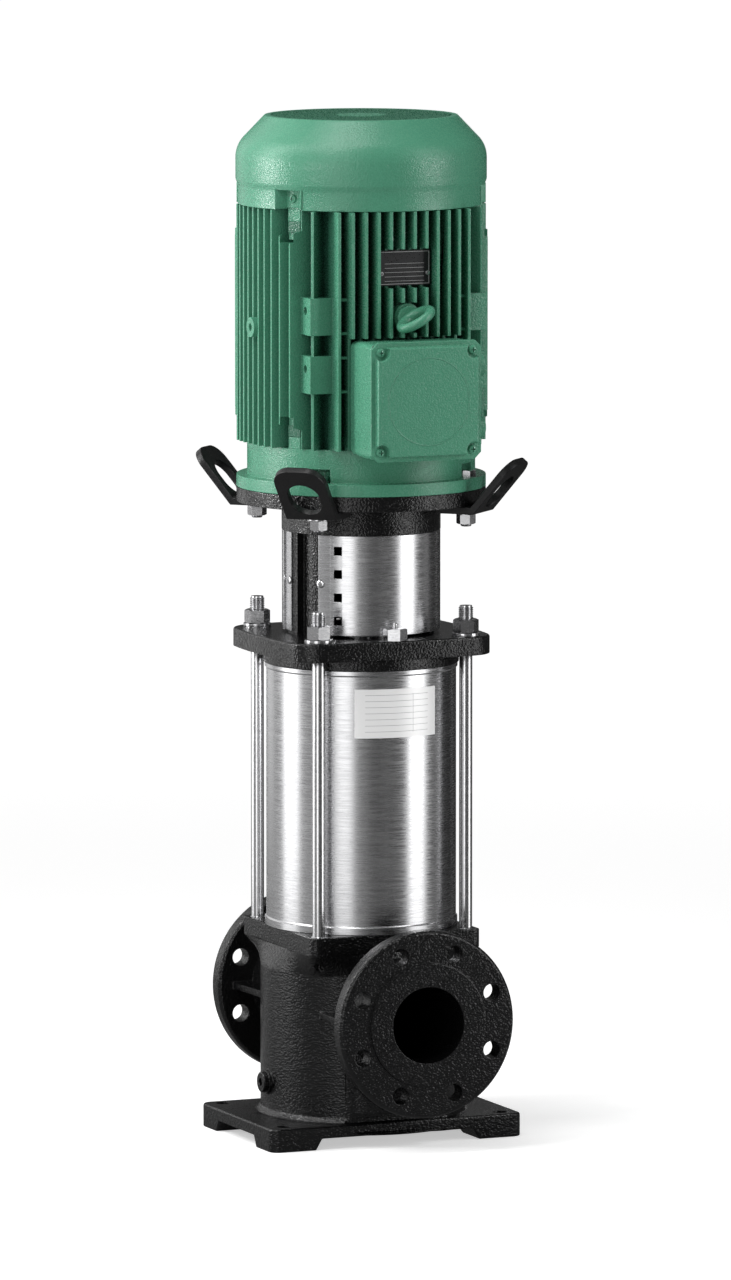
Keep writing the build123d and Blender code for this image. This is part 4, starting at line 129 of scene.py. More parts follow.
links.new(glow.outputs[0], both.inputs[1])
links.new(both.outputs[0], nodes["Material Output"].inputs["Surface"])
floor.data.materials.append(floor_paint)

world = bpy.data.worlds.new("studio_world")
bpy.context.scene.world = world
world.use_nodes = True
nodes, links = world.node_tree.nodes, world.node_tree.links
nodes["Background"].inputs["Color"].default_value = (1.0, 1.0, 1.0, 1.0)
level = nodes.new("ShaderNodeMapRange")
level.inputs["To Min"].default_value = WORLD_LIGHT
level.inputs["To Max"].default_value = 1.0
path = nodes.new("ShaderNodeLightPath")
seen = nodes.new("ShaderNodeMath")
seen.operation = "MAXIMUM"
links.new(path.outputs["Is Camera Ray"], seen.inputs[0])
links.new(mirrored(nodes, links, path), seen.inputs[1])
links.new(seen.outputs[0], level.inputs["Value"])
links.new(level.outputs["Result"], nodes["Background"].inputs["Strength"])


def around(angle, distance, height):
    """A point at an angle from the line of sight, positive to the camera's right."""
    turn = radians(VIEW_AZIMUTH + angle)
    return Vector((distance * cos(turn), distance * sin(turn), height))


def softbox(name, angle, distance, height, wide, tall, radiance):
    """A rectangular lamp that faces the pump; radiance is how bright its face looks."""
    data = bpy.data.lights.new(name, "AREA")
    data.shape = "RECTANGLE"
    data.size = wide
    data.size_y = tall
    data.energy = radiance * pi * wide * tall
    lamp = bpy.data.objects.new(name, data)
    bpy.context.collection.objects.link(lamp)
    lamp.location = around(angle, distance, height)
    towards = Vector((0, 0, height if height < OVERHEAD_Z else LOW_AIM_Z)) - lamp.location
    lamp.rotation_euler = towards.to_track_quat("-Z", "Y").to_euler()
    lamp.visible_camera = False


def grey_card(name, place, wide, tall, level):
    """A card that faces the shaft, seen only in reflections."""
    bpy.ops.mesh.primitive_plane_add(size=1.0, location=place)
    card = bpy.context.object
    card.name = name
    card.scale = (wide, tall, 1.0)
    towards = Vector((0, 0, min(place.z, CARD_MIDDLE_Z))) - place
    card.rotation_euler = towards.to_track_quat("Z", "Y").to_euler()
    cover = bpy.data.materials.new(name)
    cover.use_nodes = True
    nodes, links = cover.node_tree.nodes, cover.node_tree.links
    nodes.remove(nodes["Principled BSDF"])
    face = nodes.new("ShaderNodeEmission")
    face.inputs["Color"].default_value = (level, level, level, 1.0)
    links.new(face.outputs[0], nodes["Material Output"].inputs["Surface"])
    card.data.materials.append(cover)
    card.visible_camera = False
    card.visible_diffuse = False
    card.visible_transmission = False
    card.visible_shadow = False


# Each lamp has its angle, distance and height, its width and tallness, and its radiance.
softbox("left_softbox", -92, 1.35, 1.55, 0.66, 1.9, 4.6)
softbox("left_low_softbox", -92, 1.35, 0.30, 0.62, 0.56, 1.7)
softbox("front_softbox", -20, 1.35, 1.25, 0.46, 2.5, 1.15)
softbox("right_softbox", 69, 1.35, 1.25, 0.52, 2.5, 2.1)
softbox("top_softbox", -45, 0.9, 2.7, 0.9, 2.4, 5.0)
# Three small hard lamps make the grains of the cast skins and the enamel sparkle.
softbox("left_sparkle", -86, 1.20, 0.95, 0.10, 0.10, 95)
softbox("front_sparkle", -42, 1.20, 1.00, 0.06, 0.06, 130)
softbox("right_sparkle", 62, 1.20, 1.05, 0.09, 0.09, 60)
for number, (start, end, level) in enumerate([
    (-128, -108, 0.40), (-76, -54, 0.36), (-54, -34, 0.28), (-7, 8, 0.22), (8, 30, 0.10),
    (30, 55, 0.10), (83, 102, 0.08), (102, 112, 0.22), (112, 140, 0.03), (140, 168, 0.03),
    (168, 208, 0.10),
]):
    wide = 2 * CARD_DISTANCE * sin(radians((end - start) / 2))
    place = around((start + end) / 2, CARD_DISTANCE, CARD_MIDDLE_Z)
    grey_card(f"grey_card_{number}", place, wide, CARD_TALL, level)
grey_card("ceiling_card", Vector((0, 0, 3.1)), 3.4, 3.4, 0.16)

# Foot, body, deck and both flanged ports are one grey iron casting. It is sand cast, machined
# on the flange faces and the deck, and painted gloss black over the pebbly cast skin.
CASTING_BLACK = (0.0048, 0.0048, 0.0050, 1.0)
CASTING_DEEP = (0.0026, 0.0026, 0.0028, 1.0)
SKIN_SIZE = 0.0020
SKIN_DEPTH = 0.00082
CELL_SHARE = 0.62
CELL_WEIGHT = 0.35
CLOUDS_PER_METRE = 22.0
JOIN_WITHIN = 0.00001
FLAT_WITHIN = 0.4
SHARP_FROM = 38


def new_group(name, inputs, outputs):
    """An empty node group with float inputs and named outputs."""
    group = bpy.data.node_groups.new(name, "ShaderNodeTree")
    for label, value in inputs:
        socket = group.interface.new_socket(name=label, in_out="INPUT",
                                            socket_type="NodeSocketFloat")
        socket.default_value = value
    for label in outputs:
        group.interface.new_socket(name=label, in_out="OUTPUT", socket_type="NodeSocketFloat")
    start = group.nodes.new("NodeGroupInput")
    end = group.nodes.new("NodeGroupOutput")
    return group, start, end


def compute(nodes, links, operation, first, second):
    """One Math node; each of first and second is a socket or a number."""
    node = nodes.new("ShaderNodeMath")
    node.operation = operation
    for slot, value in ((0, first), (1, second)):
        if isinstance(value, (int, float)):
            node.inputs[slot].default_value = value
        else:
            links.new(value, node.inputs[slot])
    return node.outputs[0]


# Cast and painted skins share one pattern of rounded pebbles over a slow cloud.
pebbles, start, end = new_group("pebbles", [("Size", 0.003)], ["Height", "Cloud"])
nodes, links = pebbles.nodes, pebbles.links
where = nodes.new("ShaderNodeTexCoord")
fine = compute(nodes, links, "DIVIDE", 1.0, start.outputs["Size"])
bumps = nodes.new("ShaderNodeTexNoise")
bumps.inputs["Detail"].default_value = 1.5
bumps.inputs["Roughness"].default_value = 0.45
links.new(where.outputs["Object"], bumps.inputs["Vector"])
links.new(fine, bumps.inputs["Scale"])
cells = nodes.new("ShaderNodeTexVoronoi")
cells.feature = "SMOOTH_F1"
cells.inputs["Smoothness"].default_value = 0.6
links.new(where.outputs["Object"], cells.inputs["Vector"])
links.new(compute(nodes, links, "MULTIPLY", fine, CELL_SHARE), cells.inputs["Scale"])
hollows = compute(nodes, links, "MULTIPLY", cells.outputs["Distance"], CELL_WEIGHT)
links.new(compute(nodes, links, "SUBTRACT", bumps.outputs["Fac"], hollows), end.inputs["Height"])
cloud = nodes.new("ShaderNodeTexNoise")
cloud.inputs["Scale"].default_value = CLOUDS_PER_METRE
cloud.inputs["Detail"].default_value = 3.0
links.new(where.outputs["Object"], cloud.inputs["Vector"])
links.new(cloud.outputs["Fac"], end.inputs["Cloud"])


def place_group(nodes, group, **values):
    """One use of a node group with its own values."""
    node = nodes.new("ShaderNodeGroup")
    node.node_tree = group
    for label, value in values.items():
        node.inputs[label].default_value = value
    return node


def finish(name, colour, roughness, metallic=0.0):
    """A new material with its Principled shader set and its node lists ready."""
    paint = bpy.data.materials.new(name)
    paint.use_nodes = True
    shader = paint.node_tree.nodes["Principled BSDF"]
    shader.inputs["Base Color"].default_value = colour
    shader.inputs["Roughness"].default_value = roughness
    shader.inputs["Metallic"].default_value = metallic
    return paint, shader, paint.node_tree.nodes, paint.node_tree.links


def tint(nodes, links, mask, low, high, target):
    """Blends two colours by a mask into a colour socket."""
    mix = nodes.new("ShaderNodeMix")
    mix.data_type = "RGBA"
    links.new(mask, mix.inputs["Factor"])
    mix.inputs["A"].default_value = low
    mix.inputs["B"].default_value = high
    links.new(mix.outputs["Result"], target)


def spread(nodes, links, value, low, high, target, start=0.3, end=0.7):
    """Maps a pattern onto a range of roughness or another value."""
    ramp = nodes.new("ShaderNodeMapRange")
    ramp.inputs["From Min"].default_value = start
    ramp.inputs["From Max"].default_value = end
    ramp.inputs["To Min"].default_value = low
    ramp.inputs["To Max"].default_value = high
    links.new(value, ramp.inputs["Value"])
    links.new(ramp.outputs["Result"], target)


def bump(nodes, links, height, depth, strength, target):
    """Raises the surface by a height pattern."""
    node = nodes.new("ShaderNodeBump")
    node.inputs["Strength"].default_value = strength
    node.inputs["Distance"].default_value = depth
    links.new(height, node.inputs["Height"])
    links.new(node.outputs["Normal"], target)


def pebbled_paint(name, colour, deep, size, depth, roughness, spread_roughness, shine=0.5):
    """Gloss paint over a pebbly skin, a little deeper in colour in slow clouds."""
    paint, shader, nodes, links = finish(name, colour, roughness)
    shader.inputs["Specular IOR Level"].default_value = shine
    skin = place_group(nodes, pebbles, Size=size)
    tint(nodes, links, skin.outputs["Cloud"], deep, colour, shader.inputs["Base Color"])
    spread(nodes, links, skin.outputs["Height"], roughness - spread_roughness,
           roughness + spread_roughness, shader.inputs["Roughness"], 0.1, 0.5)
    bump(nodes, links, skin.outputs["Height"], depth, 1.0, shader.inputs["Normal"])
    return paint


black_casting = pebbled_paint("black_casting", CASTING_BLACK, CASTING_DEEP,
                              SKIN_SIZE, SKIN_DEPTH, 0.13, 0.04, shine=0.42)


def only(piece):
    """Makes one object the selected and active one."""
    bpy.ops.object.select_all(action="DESELECT")
    piece.select_set(True)
    bpy.context.view_layer.objects.active = piece


def settle(piece, name, angle=32):
    """Names a finished mesh, puts its place into the mesh and smooths its round faces."""
    piece.name = name
    piece.data.name = name
    only(piece)
    bpy.ops.object.transform_apply(location=True, rotation=True, scale=True)
    bpy.ops.object.shade_smooth_by_angle(angle=radians(angle))
    return piece


def flattened(piece):
    """Turns the shading of each corner to its largest face, so that flat faces look flat."""
    level = piece.modifiers.new("flat_faces", "WEIGHTED_NORMAL")
    level.keep_sharp = True
    only(piece)
    bpy.ops.object.modifier_apply(modifier=level.name)
    return piece


def rounded(piece, width, sharp_only=True):
    """Rounds a piece's edges, or only the sharp ones of a copied node."""
    rounding = piece.modifiers.new("rounded_edges", "BEVEL")
    rounding.width = width
    rounding.segments = 2
    if sharp_only:
        rounding.limit_method = "ANGLE"
        rounding.angle_limit = radians(SHARP_FROM)
        rounding.use_clamp_overlap = False
    only(piece)
    bpy.ops.object.modifier_apply(modifier=rounding.name)


def mount(piece, paint, slot, body, *nodes):
    """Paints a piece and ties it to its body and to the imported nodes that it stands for."""
    piece.data.materials.clear()
    piece.data.materials.append(paint)
    if nodes:
        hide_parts(*nodes)
    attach(piece, body)
    return piece


def welded_copy(node, edge=0.0, angle=32):
    """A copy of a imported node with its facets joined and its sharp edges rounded."""
    piece = bpy.data.objects.new(node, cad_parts[node].data.copy())
    bpy.context.collection.objects.link(piece)
    only(piece)
    bpy.ops.object.mode_set(mode="EDIT")
    bpy.ops.mesh.select_all(action="SELECT")
    bpy.ops.mesh.remove_doubles(threshold=JOIN_WITHIN)
    bpy.ops.mesh.dissolve_limited(angle_limit=radians(FLAT_WITHIN))
    bpy.ops.object.mode_set(mode="OBJECT")
    if edge:
        rounded(piece, edge)
    return flattened(settle(piece, node + "_finished", angle))


mount(welded_copy("base_casing", 0.0012), black_casting, "casting_black", "pump", "base_casing")
mount(welded_copy("drain_plug", 0.0004), black_casting, "casting_black", "pump", "drain_plug")
mount(welded_copy("gauge_plug", 0.0004), black_casting, "casting_black", "pump", "gauge_plug")

# The barrel is a rolled and welded stainless tube with a bead at each end. It is brushed
# round and round, and stands on the deck spigot under the cover, sealed by two O-rings.
BARREL_R = 0.1015
BARREL_BEAD_R = 0.1030
BARREL_BORE_R = 0.0995
BEAD_EDGE = 0.0004


def object_axes(nodes, links):
    """The X, Y and Z of the place on the surface, as sockets."""
    where = nodes.new("ShaderNodeTexCoord")
    parts = nodes.new("ShaderNodeSeparateXYZ")
    links.new(where.outputs["Object"], parts.inputs[0])
    return parts.outputs


# Brushed, turned and ground metal share one pattern of short streaks round the shaft.
streaks, start, end = new_group("streaks", [("Along", 0.025), ("Across", 0.0009)],
                                ["Height", "Bands"])
nodes, links = streaks.nodes, streaks.links
axes = object_axes(nodes, links)
for output, stretch in (("Height", 1.0), ("Bands", 3.5)):
    joined = nodes.new("ShaderNodeCombineXYZ")
    for axis, size in (("X", "Along"), ("Y", "Along"), ("Z", "Across")):
        wide = compute(nodes, links, "MULTIPLY", start.outputs[size], stretch)
        links.new(compute(nodes, links, "DIVIDE", axes[axis], wide), joined.inputs[axis])
    grain = nodes.new("ShaderNodeTexNoise")
    grain.inputs["Scale"].default_value = 1.0
    grain.inputs["Detail"].default_value = 3.0
    links.new(joined.outputs[0], grain.inputs["Vector"])
    links.new(grain.outputs["Fac"], end.inputs[output])


def streaked_metal(name, bright, dull, smooth, rough, along, across, depth):
    """Bare metal whose roughness and shine follow the tool marks round it."""
    metal, shader, nodes, links = finish(name, bright, smooth, metallic=1.0)
    marks = place_group(nodes, streaks, Along=along, Across=across)
    tint(nodes, links, marks.outputs["Bands"], dull, bright, shader.inputs["Base Color"])
    spread(nodes, links, marks.outputs["Height"], smooth, rough, shader.inputs["Roughness"])
    bump(nodes, links, marks.outputs["Height"], depth, 0.6, shader.inputs["Normal"])
    return metal


def turned(name, outline, steps=160, middle=(0.0, 0.0), closed=True, angle=32):
    """A round piece on an upright axis, pulled ring by ring along an outline of (radius, z)."""
    bpy.ops.object.select_all(action="DESELECT")
    radius, low = outline[0]
    bpy.ops.mesh.primitive_circle_add(vertices=steps, radius=radius, location=(*middle, low))
    piece = bpy.context.object
    bpy.ops.object.mode_set(mode="EDIT")
    bpy.ops.mesh.select_all(action="SELECT")
    for wide, high in outline[1:] + outline[:1] * closed:
        bpy.ops.mesh.extrude_region_move(TRANSFORM_OT_translate={"value": (0, 0, high - low)})
        if wide != radius:
            grow = wide / radius
            bpy.ops.transform.resize(value=(grow, grow, 1), center_override=(*middle, high))
        radius, low = wide, high
    bpy.ops.mesh.select_all(action="SELECT")
    bpy.ops.mesh.remove_doubles(threshold=0.000005)
    if not closed:
        bpy.ops.mesh.fill_holes(sides=0)
    bpy.ops.mesh.normals_make_consistent(inside=False)
    bpy.ops.object.mode_set(mode="OBJECT")
    return settle(piece, name, angle)


brushed_steel = streaked_metal("brushed_steel", (0.64, 0.64, 0.65, 1.0), (0.52, 0.52, 0.53, 1.0),
                               0.18, 0.34, 0.022, 0.0007, 0.00001)
foot, head = (corner.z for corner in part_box("barrel_sleeve"))
barrel = turned("barrel", [
    (BARREL_BORE_R, foot), (BARREL_BEAD_R - BEAD_EDGE, foot), (BARREL_BEAD_R, foot + BEAD_EDGE),
    (BARREL_BEAD_R, foot + 0.0074), (BARREL_R + 0.0007, foot + 0.0081),
    (BARREL_R, foot + 0.0092), (BARREL_R, head - 0.0062), (BARREL_R + 0.0007, head - 0.0052),
    (BARREL_BEAD_R, head - 0.0046), (BARREL_BEAD_R, head - BEAD_EDGE),
    (BARREL_BEAD_R - BEAD_EDGE, head), (BARREL_BORE_R, head),
], steps=224)
mount(barrel, brushed_steel, "stainless", "pump", "barrel_sleeve")


# Two round rubber rings seal the ends of the barrel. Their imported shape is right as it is,
# and so is that of the terminal box's gasket, made of the same rubber.
def keep_nodes(paint, *names):
    """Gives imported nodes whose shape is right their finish, and leaves their meshes alone."""
    for name in names:
        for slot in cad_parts[name].material_slots:
            slot.link = "OBJECT"
            slot.material = paint


rubber = pebbled_paint("rubber", (0.014, 0.014, 0.014, 1.0), (0.009, 0.009, 0.009, 1.0),
                       0.0006, 0.00003, 0.55, 0.1)
keep_nodes(rubber, "sleeve_o_rings", "terminal_gasket")

# The type label is a thin stainless foil glued round the barrel. It is bare but for the fine
# grey rules that divide it into empty fields.
FOIL_WHITE = (0.96, 0.96, 0.96, 1.0)
RULE_GREY = (0.25, 0.25, 0.26, 1.0)
FIELD_HIGH = 0.0065
FIELDS_HALF_WIDE = 0.036
FIELDS_HALF_HIGH = 0.0205
COLUMN_X = 0.017
COLUMN_HALF_WIDE = 0.00018


def from_value(nodes, links, socket, value):
    """How far a socket's value lies from a number, to either side."""
    return compute(nodes, links, "ABSOLUTE", compute(nodes, links, "SUBTRACT", socket, value), 0)


def level_rules(nodes, links, height, first, pitch, share):
    """1 on thin level rules that repeat upwards from the first height."""
    climb = compute(nodes, links, "SUBTRACT", height, first)
    row = compute(nodes, links, "FRACT", compute(nodes, links, "DIVIDE", climb, pitch), 0)
    return compute(nodes, links, "LESS_THAN", row, share)


label_foil, shader, nodes, links = finish("label_foil", FOIL_WHITE, 0.4, metallic=0.2)
low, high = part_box("rating_label")
axes = object_axes(nodes, links)
rule = level_rules(nodes, links, axes["Z"], low.z + FIELD_HIGH, FIELD_HIGH, 0.055)
inside = compute(nodes, links, "LESS_THAN", from_value(nodes, links, axes["X"], 0),
                 FIELDS_HALF_WIDE)
from_middle = from_value(nodes, links, axes["Z"], (low.z + high.z) / 2)
between = compute(nodes, links, "LESS_THAN", from_middle, FIELDS_HALF_HIGH)
column = from_value(nodes, links, axes["X"], COLUMN_X)
edge = compute(nodes, links, "LESS_THAN", column, COLUMN_HALF_WIDE)
lines = compute(nodes, links, "MULTIPLY", compute(nodes, links, "MAXIMUM", rule, edge),
                compute(nodes, links, "MULTIPLY", inside, between))
tint(nodes, links, lines, FOIL_WHITE, RULE_GREY, shader.inputs["Base Color"])
marks = place_group(nodes, streaks, Along=0.02, Across=0.0006)
spread(nodes, links, marks.outputs["Height"], 0.28, 0.46, shader.inputs["Roughness"])
bump(nodes, links, marks.outputs["Height"], 0.00001, 0.5, shader.inputs["Normal"])
mount(welded_copy("rating_label"), label_foil, "label_foil", "pump", "rating_label")

# Inside the barrel stand four pressed stainless stages with their closed impellers, clamped
# by a sprung spider, and a ground shaft that turns in a carbon bush under them.
pressed_steel = streaked_metal("pressed_steel", (0.60, 0.60, 0.61, 1.0), (0.50, 0.50, 0.51, 1.0),
                               0.24, 0.38, 0.012, 0.0012, 0.00002)
ground_steel = streaked_metal("ground_steel", (0.62, 0.62, 0.63, 1.0), (0.50, 0.50, 0.52, 1.0),
                              0.14, 0.26, 0.006, 0.0004, 0.00001)
carbon = pebbled_paint("carbon", (0.020, 0.020, 0.021, 1.0), (0.012, 0.012, 0.013, 1.0),
                       0.0004, 0.00001, 0.35, 0.08)
keep_nodes(pressed_steel, *[f"stage_casing_{n}" for n in range(1, 5)],
           *[f"impeller_{n}" for n in range(1, 5)], "bearing_carrier", "clamp_spider")
keep_nodes(ground_steel, "pump_shaft", "shaft_nut", "seal_head", "seal_cover_screws")
keep_nodes(carbon, "bearing_bush", "seal_seat")

# The cover and the head plate are castings in the same gloss black as the foot. The lantern
# on top is one casting too: two columns with a channel, a neck and the motor flange.
mount(welded_copy("casing_cover", 0.0010), black_casting, "casting_black", "pump", "casing_cover")
mount(welded_copy("lantern", 0.0008), black_casting, "casting_black", "pump", "lantern")

# Four long tie rods hold cover and deck together. They are drawn bright steel with rolled
# threads, and each carries a washer and a plain hexagon nut under a free thread end.
ROD_R = 0.0070
ROD_THREAD_R = 0.0080
ROD_PITCH = 0.0020
ROD_SHOULDER_Z = 0.2260
ROD_THREAD_Z = 0.5370
ROD_NUT_ACROSS = 0.024
ROD_OFFSET = 0.08485
ROD_PLACES = [(sx * ROD_OFFSET, sy * ROD_OFFSET) for sx in (-1, 1) for sy in (-1, 1)]
bright_steel = streaked_metal("bright_steel", (0.66, 0.66, 0.67, 1.0), (0.52, 0.52, 0.53, 1.0),
                              0.15, 0.28, 0.004, 0.0010, 0.00002)


def thread(low, high, crest, pitch):
    """Outline points of a screw thread, with a chamfer at its top end."""
    points = []
    depth = 0.6 * pitch
    for turn in range(int((high - low) / pitch)):
        start = low + turn * pitch
        points += [(crest - depth, start), (crest, start + 0.35 * pitch),
                   (crest, start + 0.5 * pitch), (crest - depth, start + 0.85 * pitch)]
    return [p for p in points if p[1] < high - 0.0006] + [(crest - depth - 0.0002, high)]


def copies(first, places, name, turns=(0, 0, 0, 0)):
    """Puts copies of a piece, each with its own mesh, at the places, and removes the first."""
    made = []
    for number, (place, turn) in enumerate(zip(places, turns)):
        piece = first.copy()
        piece.data = first.data.copy()
        bpy.context.collection.objects.link(piece)
        swing = Matrix.Rotation(radians(turn), 4, "Z")
        piece.data.transform(Matrix.Translation((*place, 0)) @ swing)
        piece.name = f"{name}_{number + 1}"
        made.append(piece)
    bpy.data.objects.remove(first)
    return made


low, high = (corner.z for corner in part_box("tie_rods"))
rod = turned("tie_rod", [(ROD_THREAD_R - 0.0005, low), (ROD_THREAD_R, low + 0.0005),
                         (ROD_THREAD_R, ROD_SHOULDER_Z), (ROD_R, ROD_SHOULDER_Z + 0.0008),
                         (ROD_R, ROD_THREAD_Z - 0.0004)]
             + thread(ROD_THREAD_Z, high, ROD_THREAD_R, ROD_PITCH), steps=32, closed=False)
for piece in copies(rod, ROD_PLACES, "tie_rod"):
    mount(piece, bright_steel, "steel_bright", "pump", "tie_rods")


def cut(piece, tool, operation="DIFFERENCE"):
    """Cuts a piece with another mesh, which is used up."""
    change = piece.modifiers.new("cut", "BOOLEAN")
    change.operation = operation
    change.object = tool
    only(piece)
    bpy.ops.object.modifier_apply(modifier=change.name)
    bpy.data.objects.remove(tool)


def hexagon(name, across, low, high, bore=0.0, ends=("high",)):
    """A hexagon on the shaft axis with turned corners, drilled through if it has a bore."""
    bpy.ops.object.select_all(action="DESELECT")
    bpy.ops.mesh.primitive_cylinder_add(vertices=6, radius=across / sqrt(3), depth=high - low,
                                        location=(0, 0, (low + high) / 2))
    piece = settle(bpy.context.object, name)
    drop = 0.075 * across
    narrow, wide = 0.475 * across, 0.62 * across
    # The blank runs past both ends and stands a little turned, so that no cut lies in a face.
    past, tip = 0.3 * drop, narrow - 0.3 * (wide - narrow)
    outline = [(tip, low - past), (wide, low + drop)] if "low" in ends else [(wide, low - past)]
    outline += ([(wide, high - drop), (tip, high + past)] if "high" in ends
                else [(wide, high + past)])
    blank = turned("blank", outline, steps=72, closed=False)
    blank.data.transform(Matrix.Rotation(radians(2), 4, "Z"))
    cut(piece, blank, "INTERSECT")
    if bore:
        sink = 0.1 * bore
        cut(piece, turned("drill", [
            (bore + sink, low - 0.0001), (bore, low + sink), (bore, high - sink),
            (bore + sink, high + 0.0001)], steps=36, closed=False))
    return settle(piece, name)


low, high = (corner.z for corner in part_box("tie_rod_nuts"))
nut = hexagon("rod_nut", ROD_NUT_ACROSS, low, high, bore=ROD_THREAD_R, ends=("low", "high"))
for piece in copies(nut, ROD_PLACES, "rod_nut", (-23, 8, 15, 0)):
    mount(piece, bright_steel, "steel_bright", "pump", "tie_rod_nuts")
mount(welded_copy("washers", 0.0003), bright_steel, "steel_bright", "pump", "washers")

# The vent plug is a bright hexagon screwed into the head plate. A slotted bleed screw turns
# in its middle.
VENT_ACROSS = 0.0225
VENT_BORE_R = 0.0029
VENT_THREAD_R = 0.0080
VENT_SEAT_Z = 0.5405
low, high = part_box("vent_plug")
VENT_PLACE = ((low.x + high.x) / 2, (low.y + high.y) / 2)
vent = hexagon("vent_body", VENT_ACROSS, VENT_SEAT_Z, high.z, bore=VENT_BORE_R)
mount(copies(vent, [VENT_PLACE], "vent_body")[0], bright_steel, "steel_bright", "pump", "vent_plug")
stem = turned("vent_stem", [
    (VENT_BORE_R, low.z), (VENT_THREAD_R - 0.0004, low.z), (VENT_THREAD_R, low.z + 0.0004),
    (VENT_THREAD_R, VENT_SEAT_Z), (VENT_BORE_R, VENT_SEAT_Z)], steps=32, middle=VENT_PLACE)
mount(stem, bright_steel, "steel_bright", "pump", "vent_plug")
mount(welded_copy("bleed_screw", 0.0002), bright_steel, "steel_bright", "bleed", "bleed_screw")

# The shaft seal cover, the clamped coupling halves and their socket screws sit inside the
# lantern and are seen through the guard slots.
keep_nodes(ground_steel, "coupling_screws")
mount(welded_copy("coupling_halves", 0.0006), black_casting, "casting_black", "rotor",
      "coupling_halves")
mount(welded_copy("seal_cover", 0.0005), bright_steel, "stainless", "pump", "seal_cover")

# Two bent stainless guards close the lantern windows. Pan-head screws with a cross recess
# hold their folded ends to the columns.
GUARD_MIDDLES = (287, 107)
GUARD_HALF_ANGLE = 71.7
COLUMN_R = 0.0817
GUARD_SCREW_Z = 0.598
for guard in ("guard_front", "guard_back"):
    mount(welded_copy(guard, 0.0003), brushed_steel, "stainless", "pump", guard)


def block(place, size, turn=0.0):
    """A box at a place, turned about the upright, with its place put into the mesh."""
    bpy.ops.object.select_all(action="DESELECT")
    bpy.ops.mesh.primitive_cube_add(size=1.0, location=place, rotation=(0, 0, radians(turn)),
                                    scale=size)
    bpy.ops.object.transform_apply(location=True, rotation=True, scale=True)
    return bpy.context.object


def cross_screw(name, radius, head, shank_r, shank):
    """A domed screw head that stands on z = 0 with its shank below and a cross recess."""
    piece = turned(name, [
        (shank_r, -shank), (shank_r, 0.0), (radius, 0.0), (radius, 0.25 * head),
        (0.88 * radius, 0.65 * head), (0.62 * radius, 0.9 * head), (0.30 * radius, head),
    ], steps=28, closed=False)
    for turn in (0, 90):
        cut(piece, block((0, 0, 0.75 * head), (1.15 * radius, 0.24 * radius, head), turn))
    return settle(piece, name)


def stood(first, place, facing, name):
    """A copy of a screw with its own mesh, standing at a place and pointing along a direction."""
    piece = first.copy()
    piece.data = first.data.copy()
    bpy.context.collection.objects.link(piece)
    turn = Vector(facing).to_track_quat("Z", "Y").to_matrix().to_4x4()
    piece.data.transform(Matrix.Translation(place) @ turn)
    piece.name = name
    return piece


def outward(turn):
    """The level direction away from the shaft at an angle."""
    return Vector((cos(radians(turn)), sin(radians(turn)), 0))


guard_screw = cross_screw("guard_screw", 0.0045, 0.0020, 0.0025, 0.0096)
turns = [middle + side * GUARD_HALF_ANGLE for middle in GUARD_MIDDLES for side in (-1, 1)]
for number, turn in enumerate(turns):
    out = outward(turn)
    place = out * COLUMN_R + Vector((0, 0, GUARD_SCREW_Z))
    piece = stood(guard_screw, place, out, f"guard_screw_{number + 1}")
    mount(piece, bright_steel, "steel_bright", "pump", "guard_screws")
bpy.data.objects.remove(guard_screw)

# Four bent lifting lugs are flame cut from 8 mm plate, painted satin black and clamped under
# the motor flange by its bolts.
lug_black = pebbled_paint("lug_black", (0.0090, 0.0090, 0.0094, 1.0),
                          (0.006, 0.006, 0.0064, 1.0), 0.0011, 0.00012, 0.36, 0.08, shine=0.3)
mount(welded_copy("lifting_lugs", 0.0012), lug_black, "lug_black", "pump", "lifting_lugs")

# Hexagon bolts and nuts join the motor to the lantern through the lugs. The heads lie on the
# motor's flange, and the threads come out under the nuts.
BOLT_R = 0.0060
BOLT_PITCH = 0.00175
BOLT_ACROSS = 0.018
BOLT_THREAD_TOP_Z = 0.6740
BOLT_SEAT_Z = 0.7097
low, high = (corner.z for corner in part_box("flange_bolts"))
bolt = turned("flange_bolt_shank", [(0.0048, low), (BOLT_R, low + 0.0010)]
              + thread(low + 0.0012, BOLT_THREAD_TOP_Z, BOLT_R, BOLT_PITCH)[:-1]
              + [(BOLT_R, BOLT_THREAD_TOP_Z + 0.0005), (BOLT_R, BOLT_SEAT_Z)],
              steps=28, closed=False)
for piece in copies(bolt, ROD_PLACES, "flange_bolt_shank"):
    mount(piece, bright_steel, "steel_bright", "pump", "flange_bolts")
bolt_head = hexagon("flange_bolt_head", BOLT_ACROSS, BOLT_SEAT_Z, high)
for piece in copies(bolt_head, ROD_PLACES, "flange_bolt_head"):
    mount(piece, bright_steel, "steel_bright", "pump", "flange_bolts")
low, high = (corner.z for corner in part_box("flange_nuts"))
flange_nut = hexagon("flange_nut", BOLT_ACROSS, low, high, bore=BOLT_R, ends=("low", "high"))
for piece in copies(flange_nut, ROD_PLACES, "flange_nut", (-23, 8, 0, 0)):
    mount(piece, bright_steel, "steel_bright", "pump", "flange_nuts")

# The motor is a finned aluminium frame between two shields, all in green hammered enamel
# that lies thick and rounds every edge. The drive shield below carries the motor flange.
ENAMEL = (0.077, 0.280, 0.176, 1.0)
ENAMEL_DEEP = (0.062, 0.236, 0.147, 1.0)
green_enamel = pebbled_paint("green_enamel", ENAMEL, ENAMEL_DEEP, 0.0015, 0.00042, 0.26, 0.06,
                             shine=0.42)
mount(welded_copy("drive_shield", 0.0010), green_enamel, "motor_green", "pump", "drive_shield")
